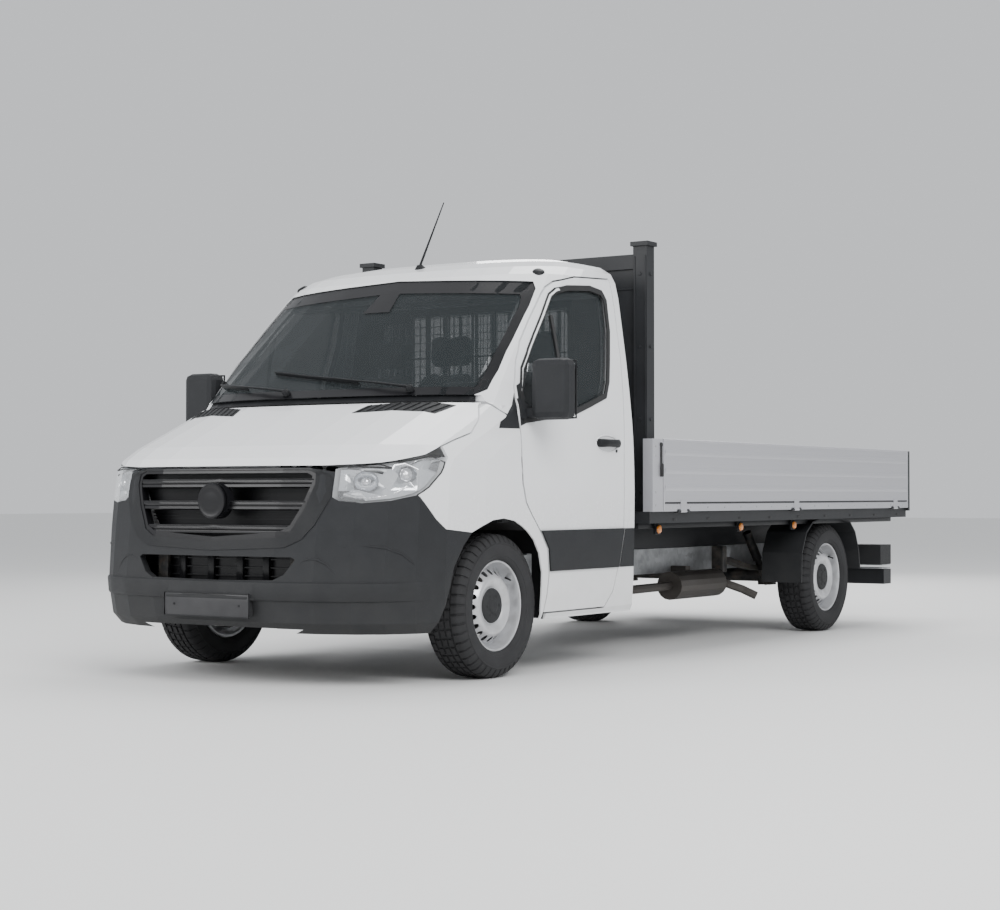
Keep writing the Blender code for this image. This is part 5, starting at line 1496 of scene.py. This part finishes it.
        def near(point):
            place, normal, _, _ = skin.find_nearest(
                Vector((side * 1.03, point[0] + SHIFT, point[1])))
            return place, normal if normal.x * side > 0 else -normal

        bm = bmesh.new()
        grid = [[(front + (rear - front) * k / 5, z) for k in range(6)]
                for z, front, rear in rows]
        laid_sheet(bm, grid, near, .0024, .003)
        piece(f"pillar_corner_{end}", bm, "moulded_plastic", "truck", 40.0)

    def corner_trim(self, end, side, skin):
        """The dark band behind the door, in line with the door's cladding."""
        def beside(point):
            return touch(skin, (side * 3, point[0] + SHIFT, point[1]), (-side, 0, 0))

        bm = bmesh.new()
        grid = quad_grid(((1.098, .505), (1.246, .505), (1.246, .709), (1.152, .709)), 5, 9)
        laid_sheet(bm, grid, beside, .004, .002)
        piece(f"corner_trim_{end}", bm, "moulded_plastic", "truck", 40.0)

    def execute(self, context):
        glass = skin_of("windscreen")
        shell = skin_of("cab_shell")
        fenders = skin_of("cab_shell", "fender_left", "fender_right")
        self.sheets()
        for end, side in SIDES:
            self.windscreen_trim(end, side, glass)
        self.dash()
        self.guard()
        place, normal = seen_at(skin_of("cab_shell", "fender_left"), 538.5, 272)
        for end, side in SIDES:
            self.pillar_corner(end, side, fenders)
            self.corner_trim(end, side, shell)
            bm = bmesh.new()
            cup(bm, [(.001, .013), (.020, .012), (.030, .006), (.034, -.004), (.001, -.012)],
                flipped(place, side), flipped(normal, side), 20)
            piece(f"roof_cap_{end}", bm, "satin_trim", "truck", 40.0)
        return {"FINISHED"}


class FLATBED_OT_seats(bpy.types.Operator):
    """Makes the padded driver's seat and the passenger bench, with their seams and headrests"""

    bl_idname = "flatbed.seats"
    bl_label = "Seats"

    def swell(self, made, voxel=.011, pressure=4.0, cap=.024):
        """Remeshes a pad and lets cloth pressure round it; no point moves further than cap."""
        fine = made.modifiers.new("fine", "REMESH")
        fine.mode, fine.voxel_size = "VOXEL", voxel
        settle(made)
        scene = bpy.context.scene
        start = [v.co.copy() for v in made.data.vertices]
        cloth = made.modifiers.new("padding", "CLOTH")
        cloth.settings.use_pressure = True
        cloth.settings.uniform_pressure_force = pressure
        cloth.settings.effector_weights.gravity = 0.0
        cloth.settings.quality = 5
        cloth.point_cache.frame_start, cloth.point_cache.frame_end = 1, 20
        for step in range(1, 21):
            scene.frame_set(step)
        settle(made)
        scene.frame_set(1)
        for vertex, first in zip(made.data.vertices, start):
            moved = vertex.co - first
            if moved.length > cap:
                vertex.co = first + moved.normalized() * cap

    def pad(self, name, side_line, low, high, middle, replaces=()):
        """A padded cushion across the truck; past middle from its centre it is bolster cloth."""
        bm = bmesh.new()
        loft(bm, self.sections(low, high, side_line))
        bmesh.ops.recalc_face_normals(bm, faces=bm.faces)
        made = as_object(name, bm)
        self.swell(made)
        smooth = made.modifiers.new("soft", "SUBSURF")
        smooth.levels = smooth.render_levels = 1
        settle(made)
        made.data.name = name
        made.data.materials.clear()
        for look in ("seat_cloth", "bolster_cloth"):
            made.data.materials.append(finish(look))
        centre = (low + high) / 2
        for face in made.data.polygons:
            face.use_smooth = True
            face.material_index = int(abs(face.center.x - centre) > middle)
        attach(made, "truck")
        if replaces:
            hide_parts(*replaces)
        return made

    def sections(self, low, high, side_line):
        """Sections across the seat from a closed (along, up) outline, drawn in at both ends."""
        ys = [y for y, z in side_line]
        zs = [z for y, z in side_line]
        middle_y, middle_z = (min(ys) + max(ys)) / 2, (min(zs) + max(zs)) / 2
        stations = ((0, .74), (.035, .88), (.10, .97), (.24, 1.0), (.5, .985), (.76, 1.0),
                    (.90, .97), (.965, .88), (1, .74))
        return [[
            Vector((low + (high - low) * t, middle_y + (y - middle_y) * k + SHIFT,
                    middle_z + (z - middle_z) * k))
            for y, z in side_line] for t, k in stations]

    def seams(self, name, pad, runs, aim):
        """Thread along each run of places, where it meets the pad's skin."""
        skin = bmesh.new()
        skin.from_mesh(pad.data)
        tree = BVHTree.FromBMesh(skin)
        skin.free()
        bm = bmesh.new()
        for run in runs:
            hits = [tree.ray_cast(Vector(origin), Vector(aim))[:2] for origin in run]
            line = [place + normal * .0006 for place, normal in hits if place is not None]
            if len(line) > 2:
                rod(bm, line, sizes().seam * .5, 6)
        piece(name, bm, "seat_thread", "truck", 60.0)

    def seat(self, name, low, high, replaces=()):
        centre, half = (low + high) / 2, (high - low) / 2
        reach = half * .62
        cushion = self.pad(f"{name}_cushion", CUSHION_SIDE, low + .012, high - .012, reach,
                           replaces)
        back = self.pad(f"{name}_back", BACK_SIDE, low + .018, high - .018, reach)
        self.pad(f"{name}_headrest", REST_SIDE, centre - .125, centre + .125, .125 * .9)
        bm = bmesh.new()
        for x in (centre - .055, centre + .055):
            rod(bm, [(x, 1.10 + SHIFT, 1.56), (x, 1.118 + SHIFT, 1.64)], .0065, 10)
        piece(f"{name}_headrest_posts", bm, "reflector", "truck", 60.0)

        across = [centre - half * .60 + half * .10 * m for m in range(13)]
        over, ahead = 1.5, -2.0
        runs = [[(x, .54 + .37 * k / 14 + SHIFT, over) for k in range(15)]
                for x in (centre - reach, centre + reach)]
        runs += [[(x, .52 + .10 * k + SHIFT, over) for x in across] for k in (1, 2, 3)]
        self.seams(f"{name}_cushion_seams", cushion, runs, (0, 0, -1))
        runs = [[(x, ahead, 1.02 + .50 * k / 16) for k in range(17)]
                for x in (centre - reach, centre + reach)]
        runs += [[(x, ahead, 1.0 + .13 * k) for x in across] for k in (1, 2, 3)]
        self.seams(f"{name}_back_seams", back, runs, (0, 1, 0))

        bm = bmesh.new()
        block(bm, (low + .03, .565 + SHIFT, .622), (high - .03, .955 + SHIFT, .885), .018, 3)
        block(bm, (low + .005, .540 + SHIFT, .862), (high - .005, .985 + SHIFT, .900), .012, 3)
        piece(f"{name}_base", bm, "satin_trim", "truck", 40.0)

    def belts(self):
        bm = bmesh.new()
        for x, side in ((.205, 1), (-.765, -1)):
            rod(bm, [(x, 1.10 + SHIFT, .96), (x + side * .01, 1.06 + SHIFT, .99)], .012, 8)
        buckle = Vector((.214, .93 + SHIFT, 1.0))
        block(bm, buckle - Vector((.011, .016, .05)), buckle + Vector((.011, .016, .03)), .004)
        piece("belt_buckles", bm, "satin_trim", "truck", 40.0)

    def execute(self, context):
        self.seat("driver", .236, .724, ("driver_seat",))
        self.seat("outer_passenger", -.744, -.312, ("passenger_seat",))
        self.seat("middle_passenger", -.306, .124)
        self.belts()
        return {"FINISHED"}


class FLATBED_OT_platform(bpy.types.Operator):
    """Makes the boards' ridges, strips, rivets and levers, the markers and the lamp lenses"""

    bl_idname = "flatbed.platform"
    bl_label = "Platform"

    def board(self, name, start, stop, spot, outwards):
        """Dresses one board; spot(run, up, lift) gives a place along its outer face."""
        low, high = start + .016, stop - .016
        bm = bmesh.new()
        for z in RIDGES:
            loft(bm, [[spot(run, z + rise, lift) for rise, lift in RIDGE_SHAPE]
                      for run in (low, high)])
        rod(bm, [spot(start, 1.187, -.004), spot(stop, 1.187, -.004)], .0068, 12)
        for end in (start, stop - .014):
            block(bm, spot(end, .800, -.010), spot(end + .014, 1.188, .0022), .0015)
        piece(f"{name}_ridges", bm, "alloy_sheet", name, 40.0)
        # A dark rod along the lowest groove: painted shade of the groove, not a part of the board.
        bm = bmesh.new()
        rod(bm, [spot(run, .8425, -.0015) for run in (low, high)], .0042, 8)
        piece(f"{name}_groove", bm, "seal_rubber", name, 60.0)
        bm = bmesh.new()
        steps = max(6, round((stop - start) / .21))
        r = sizes().rivet
        for k in range(steps):
            run = start + (stop - start) * (k + .5) / steps
            cup(bm, [(.001, .0028), (r * .7, .0024), (r * 1.1, .0004), (r * 1.1, -.002),
                     (.001, -.004)], spot(run, .816, 0), outwards, 12)
        piece(f"{name}_rivets", bm, "zinc_coat", name, 60.0)

    def side_board(self, end, side):
        def spot(run, z, lift):
            return Vector((side * (BOARD_FACE + lift), run, z))

        self.board(f"side_board_{end}", BOARD_FRONT, BOARD_REAR, spot, (side, 0, 0))

    def tailboard(self):
        def spot(run, z, lift):
            return Vector((run, TAIL_FACE + lift, z))

        self.board("tailboard", -TAIL_HALF, TAIL_HALF, spot, (0, 1, 0))

    def corner_post(self, end, side):
        """The post's lever, which holds the side board shut, and its rivets."""
        x = side * BOARD_FACE
        bm = bmesh.new()
        block(bm, (x - side * .004, -.603, .985), (x + side * .009, -.588, 1.172), .004)
        block(bm, (x, -.606, .985), (x + side * .016, -.584, 1.058), .006)
        cup(bm, [(.001, .010), (.009, .009), (.012, .004), (.012, -.004), (.001, -.006)],
            (x, -.595, 1.160), (side, 0, 0), 18)
        piece(f"post_lever_{end}", bm, "seal_rubber", "truck", 40.0)
        bm = bmesh.new()
        for z in (.83, .90, 1.10, 1.15):
            cup(bm, POST_RIVET, (x, -.655, z), (side, 0, 0), 12)
        piece(f"post_rivets_{end}", bm, "zinc_coat", "truck", 60.0)

    def side_markers(self, end, side):
        r = sizes().marker_radius
        lenses, plates = bmesh.new(), bmesh.new()
        for along in MARKERS_ALONG:
            y = along + SHIFT
            place = (side * MARKER_FACE, y, MARKER_HEIGHT)
            cup(lenses, [(.001, .015), (r * .5, .0145), (r * .85, .011), (r, .004), (r, -.004),
                         (.001, -.005)], place, (side, 0, 0), 28)
            block(plates, (side * .962, y - .030, .668), (side * .976, y + .030, .733), .003)
            cup(plates, [(.0275, .003), (.030, .001), (.030, -.004), (.0275, -.004)], place,
                (side, 0, 0), 28)
        piece(f"side_markers_{end}", lenses, "marker_lens", "truck", 40.0)
        piece(f"marker_plates_{end}", plates, "satin_trim", "truck", 40.0)

    def tail_lamp(self, end, side):
        """Three lenses on the lamp's dark housing, and the shelf that carries it."""
        NODES[f"tail_lamp_{end}"].data.materials[0] = finish("moulded_plastic")
        for name, look, inner, outer in (("stop", "tail_lens", .842, .962),
                                         ("turn", "marker_lens", .748, .838),
                                         ("reverse", "white_lens", .632, .744)):
            bm = bmesh.new()
            block(bm, (side * inner, 2.930, .414), (side * outer, 2.944, .531), .005)
            piece(f"{name}_lens_{end}", bm, look, "truck", 40.0)
        bm = bmesh.new()
        for low, high in ((.374, .3815), (.3975, .4045)):
            block(bm, (side * .640, 2.780, low), (side * .968, 2.930, high), .002)
        block(bm, (side * .700, 2.80, .372), (side * .72, 2.92, .405), .002)
        piece(f"lamp_shelf_{end}", bm, "zinc_coat", "truck", 40.0)

    def beams(self, end, side):
        bm = bmesh.new()
        block(bm, (side * .395, -.58, .562), (side * .455, 2.94, .7305), .006)
        block(bm, (side * .880, -.66, .700), (side * .955, 2.98, .7325), .004)
        piece(f"subframe_beam_{end}", bm, "dark_steel", "truck", 40.0)

    def rail(self, end, side):
        """The slots along the deck's rail, and the lashing rings on its top."""
        bm = bmesh.new()
        for k in range(9):
            y = -.40 + k * .41
            block(bm, (side * 1.0395, y - .020, .744), (side * 1.0425, y + .020, .758), .0014)
        for y in (-.68, 3.034):
            block(bm, (side * .992, y - .004, .733), (side * 1.0405, y + .004, .783), .002)
        piece(f"rail_slots_{end}", bm, "seal_rubber", "truck", 40.0)
        bm = bmesh.new()
        ring = ((-.030, 0), (-.026, .010), (-.012, .016), (.012, .016), (.026, .010), (.030, 0))
        for k in range(5):
            y = -.15 + k * .70
            rod(bm, [(side * .940, y + along, .8085 + rise) for along, rise in ring], .0045, 8)
            block(bm, (side * .925, y - .045, .8065), (side * .955, y + .045, .8095), .001)
        piece(f"lashing_rings_{end}", bm, "zinc_coat", "truck", 40.0)

    def headboard(self):
        """The posts' bolts and front strips, the window's wires and the sheet's ribs."""
        bm = bmesh.new()
        for side in (-1, 1):
            for z in (.90, 1.30, 1.70, 2.10):
                cup(bm, BOLT_HEAD, (side * .975, -.555, z), (side, 0, 0), 6)
                cup(bm, BOLT_HEAD, (side * .932, -.5975, z), (0, -1, 0), 6)
            for near in (.894, .961):
                block(bm, (side * near, -.6015, .86), (side * (near + .010), -.5965, 2.20), .002)
        piece("headboard_bolts", bm, "dark_steel", "truck", 40.0)
        bm = bmesh.new()
        for k in range(1, 26):
            x = -.615 + 1.23 * k / 26
            rod(bm, [(x, -.5625, 1.424), (x, -.5625, 1.936)], .0025, 6)
        piece("headboard_wires", bm, "dark_steel", "truck", 60.0)
        bm = bmesh.new()
        for z in (.90, 1.12, 1.34, 2.02):
            rod(bm, [(-.882, -.5760, z), (.882, -.5760, z)], .006, 8)
        piece("headboard_ribs", bm, "dark_steel", "truck", 60.0)

    def execute(self, context):
        for end, side in SIDES:
            self.side_board(end, side)
            self.corner_post(end, side)
            self.side_markers(end, side)
            self.tail_lamp(end, side)
            self.beams(end, side)
            self.rail(end, side)
        self.tailboard()
        self.headboard()
        return {"FINISHED"}


class FLATBED_OT_underside(bpy.types.Operator):
    """Makes the dampers, drums, brake lines, arch liners, tank straps and engine covers"""

    bl_idname = "flatbed.underside"
    bl_label = "Running gear"

    def damper(self, end, side):
        top, foot = Vector((side * .50, 1.62, .640)), Vector((side * .56, 1.80, .300))
        bm = bmesh.new()
        rod(bm, [top, top.lerp(foot, .52)], .030, 16)
        rod(bm, [top.lerp(foot, .48), foot], .021, 16)
        for y in (1.06, 2.68):
            block(bm, (side * .54, y - .03, .40), (side * .62, y + .03, .565), .006)
        piece(f"rear_damper_{end}", bm, "road_steel", "truck", 40.0)

    def drum(self, end, side):
        bm = bmesh.new()
        cup(bm, [(.001, .012), (.070, .012), (.120, .006), (.128, -.010), (.128, -.050),
                 (.110, -.060), (.001, -.060)],
            (side * .800, WHEELBASE + SHIFT, TYRE_RADIUS), (side, 0, 0), 40)
        piece(f"rear_drum_{end}", bm, "road_steel", f"rear_wheel_{end}", 40.0)

    def brake_line(self, end, side):
        line = ((.36, -.55, .59), (.372, .2, .585), (.372, 1.0, .588), (.37, 1.6, .575),
                (.30, 1.72, .50), (.24, 1.80, .42))
        bm = bmesh.new()
        rod(bm, [(side * x, y, z) for x, y, z in line], .005, 6)
        piece(f"brake_line_{end}", bm, "seal_rubber", "truck", 60.0)

    def arch_liner(self, end, side):
        """A thin liner under the arch, which stops where the steered tyre comes near."""
        arch = ((-.300, .716), (-.214, .747), (-.128, .772), (-.033, .780), (.064, .767),
                (.141, .736), (.184, .712))
        bm = bmesh.new()
        loft(bm, [[Vector((side * x, y + SHIFT, z + lift)) for x, lift in
                   ((.700, .004), (.985, .004), (.985, .0), (.700, .0))] for y, z in arch])
        piece(f"arch_liner_{end}", bm, "seal_rubber", "truck", 40.0)

    def tank(self):
        """The tank's filler cap and its three straps."""
        bm = bmesh.new()
        cup(bm, [(.001, .022), (.030, .020), (.036, .012), (.036, -.004), (.001, -.006)],
            (-.830, -.36, .47), (-1, 0, 0), 28)
        for y in (-.45, -.12, .20):
            block(bm, (-.834, y - .018, .297), (-.45, y + .018, .301), .001)
            block(bm, (-.8345, y - .018, .297), (-.8300, y + .018, .545), .001)
        piece("tank_straps", bm, "dark_steel", "truck", 40.0)

    def radiator(self):
        bm = bmesh.new()
        for k in range(24):
            z = .42 + k * .0225
            block(bm, (-.385, -2.8885, z), (.385, -2.8845, z + .006), .001, 1)
        piece("radiator_fins", bm, "road_steel", "truck", 40.0)

    def engine(self):
        bm = bmesh.new()
        for k in range(4):
            cup(bm, [(.001, .030), (.022, .030), (.030, .022), (.030, -.004), (.001, -.006)],
                (.10, -2.62 + k * .12, 1.0), (0, 0, 1), 20)
        block(bm, (-.30, -2.66, .996), (.02, -2.22, 1.012), .006)
        rod(bm, [(-.24, -2.66, .96), (-.24, -2.75, .93), (-.24, -2.83, .92)], .028, 12)
        piece("engine_covers", bm, "satin_trim", "truck", 40.0)

    def execute(self, context):
        for end, side in SIDES:
            self.damper(end, side)
            self.drum(end, side)
            self.brake_line(end, side)
            self.arch_liner(end, side)
        self.tank()
        self.radiator()
        self.engine()
        return {"FINISHED"}


class FLATBED_OT_stage(bpy.types.Operator):
    """Makes the pale floor, the soft studio lights and the camera at the photograph's angle"""

    bl_idname = "flatbed.stage"
    bl_label = "Stage"

    def soft_light(self, name, place, aim, size, power):
        lamp = bpy.data.lights.new(name, "AREA")
        lamp.shape = "RECTANGLE"
        lamp.size, lamp.size_y = size
        lamp.energy = power
        light = bpy.data.objects.new(name, lamp)
        bpy.context.scene.collection.objects.link(light)
        light.location = place
        light.rotation_euler = (Vector(aim) - Vector(place)).to_track_quat("-Z", "Y").to_euler()

    def studio_floor(self):
        bm = bmesh.new()
        bmesh.ops.create_grid(bm, x_segments=2, y_segments=2, size=60.0)
        floor = as_object("studio_floor", bm)
        floor.data.materials.append(finish("pale_floor"))

    def lights(self):
        """Soft lights; the top one stays behind the cab, out of the windscreen's reflection."""
        self.soft_light("key_light", (7.5, -6.0, 6.5), (0, -1.0, 1.0), (6.0, 5.0), 760.0)
        self.soft_light("front_light", (-4.5, -9.5, 4.5), (0, -2.0, 1.0), (6.0, 4.0), 520.0)
        self.soft_light("top_light", (0.0, 3.3, 8.0), (0, 3.0, 0), (5.0, 7.0), 450.0)
        self.soft_light("rear_light", (-4.0, 8.5, 4.0), (0, 1.5, 1.0), (4.0, 3.0), 220.0)
        world = bpy.data.worlds.new("studio_air")
        world.use_nodes = True
        air = world.node_tree.nodes["Background"]
        air.inputs["Color"].default_value = (.88, .90, .93, 1)
        air.inputs["Strength"].default_value = .85
        bpy.context.scene.world = world

    def camera(self):
        lens = bpy.data.cameras.new("photo_camera")
        lens.sensor_fit = "HORIZONTAL"
        lens.sensor_width, lens.lens = SENSOR_WIDTH, CAMERA_LENS
        lens.clip_end = 200.0
        camera = bpy.data.objects.new("photo_camera", lens)
        bpy.context.scene.collection.objects.link(camera)
        camera.location = CAMERA_PLACE
        camera.rotation_euler = back_vector().to_track_quat("Z", "Y").to_euler()
        bpy.context.scene.camera = camera

    def execute(self, context):
        self.studio_floor()
        self.lights()
        self.camera()
        return {"FINISHED"}


OPERATORS = (
    FLATBED_OT_frame, FLATBED_OT_wheels, FLATBED_OT_front, FLATBED_OT_lamps, FLATBED_OT_glazing,
    FLATBED_OT_doors, FLATBED_OT_cab, FLATBED_OT_seats, FLATBED_OT_platform,
    FLATBED_OT_underside, FLATBED_OT_stage)


class FLATBED_PT_panel(bpy.types.Panel):
    """Lists the pieces of the flatbed truck with their sizes and colours"""

    bl_idname = "FLATBED_PT_panel"
    bl_label = "Flatbed truck"
    bl_space_type = "VIEW_3D"
    bl_region_type = "UI"
    bl_category = "Flatbed"

    def draw(self, context):
        for group in (context.scene.flatbed_sizes, context.scene.flatbed_colours):
            for key in group.__annotations__:
                self.layout.prop(group, key)
        for operator in OPERATORS:
            self.layout.operator(operator.bl_idname)


CLASSES = (FlatbedColours, FlatbedSizes, *OPERATORS, FLATBED_PT_panel)


def register():
    for one in CLASSES:
        bpy.utils.register_class(one)
    bpy.types.Scene.flatbed_colours = bpy.props.PointerProperty(type=FlatbedColours)
    bpy.types.Scene.flatbed_sizes = bpy.props.PointerProperty(type=FlatbedSizes)


def unregister():
    del bpy.types.Scene.flatbed_sizes
    del bpy.types.Scene.flatbed_colours
    for one in reversed(CLASSES):
        bpy.utils.unregister_class(one)


def main():
    register()
    for operator in OPERATORS:
        group, call = operator.bl_idname.split(".")
        getattr(getattr(bpy.ops, group), call)()


if __name__ == "__main__":
    main()
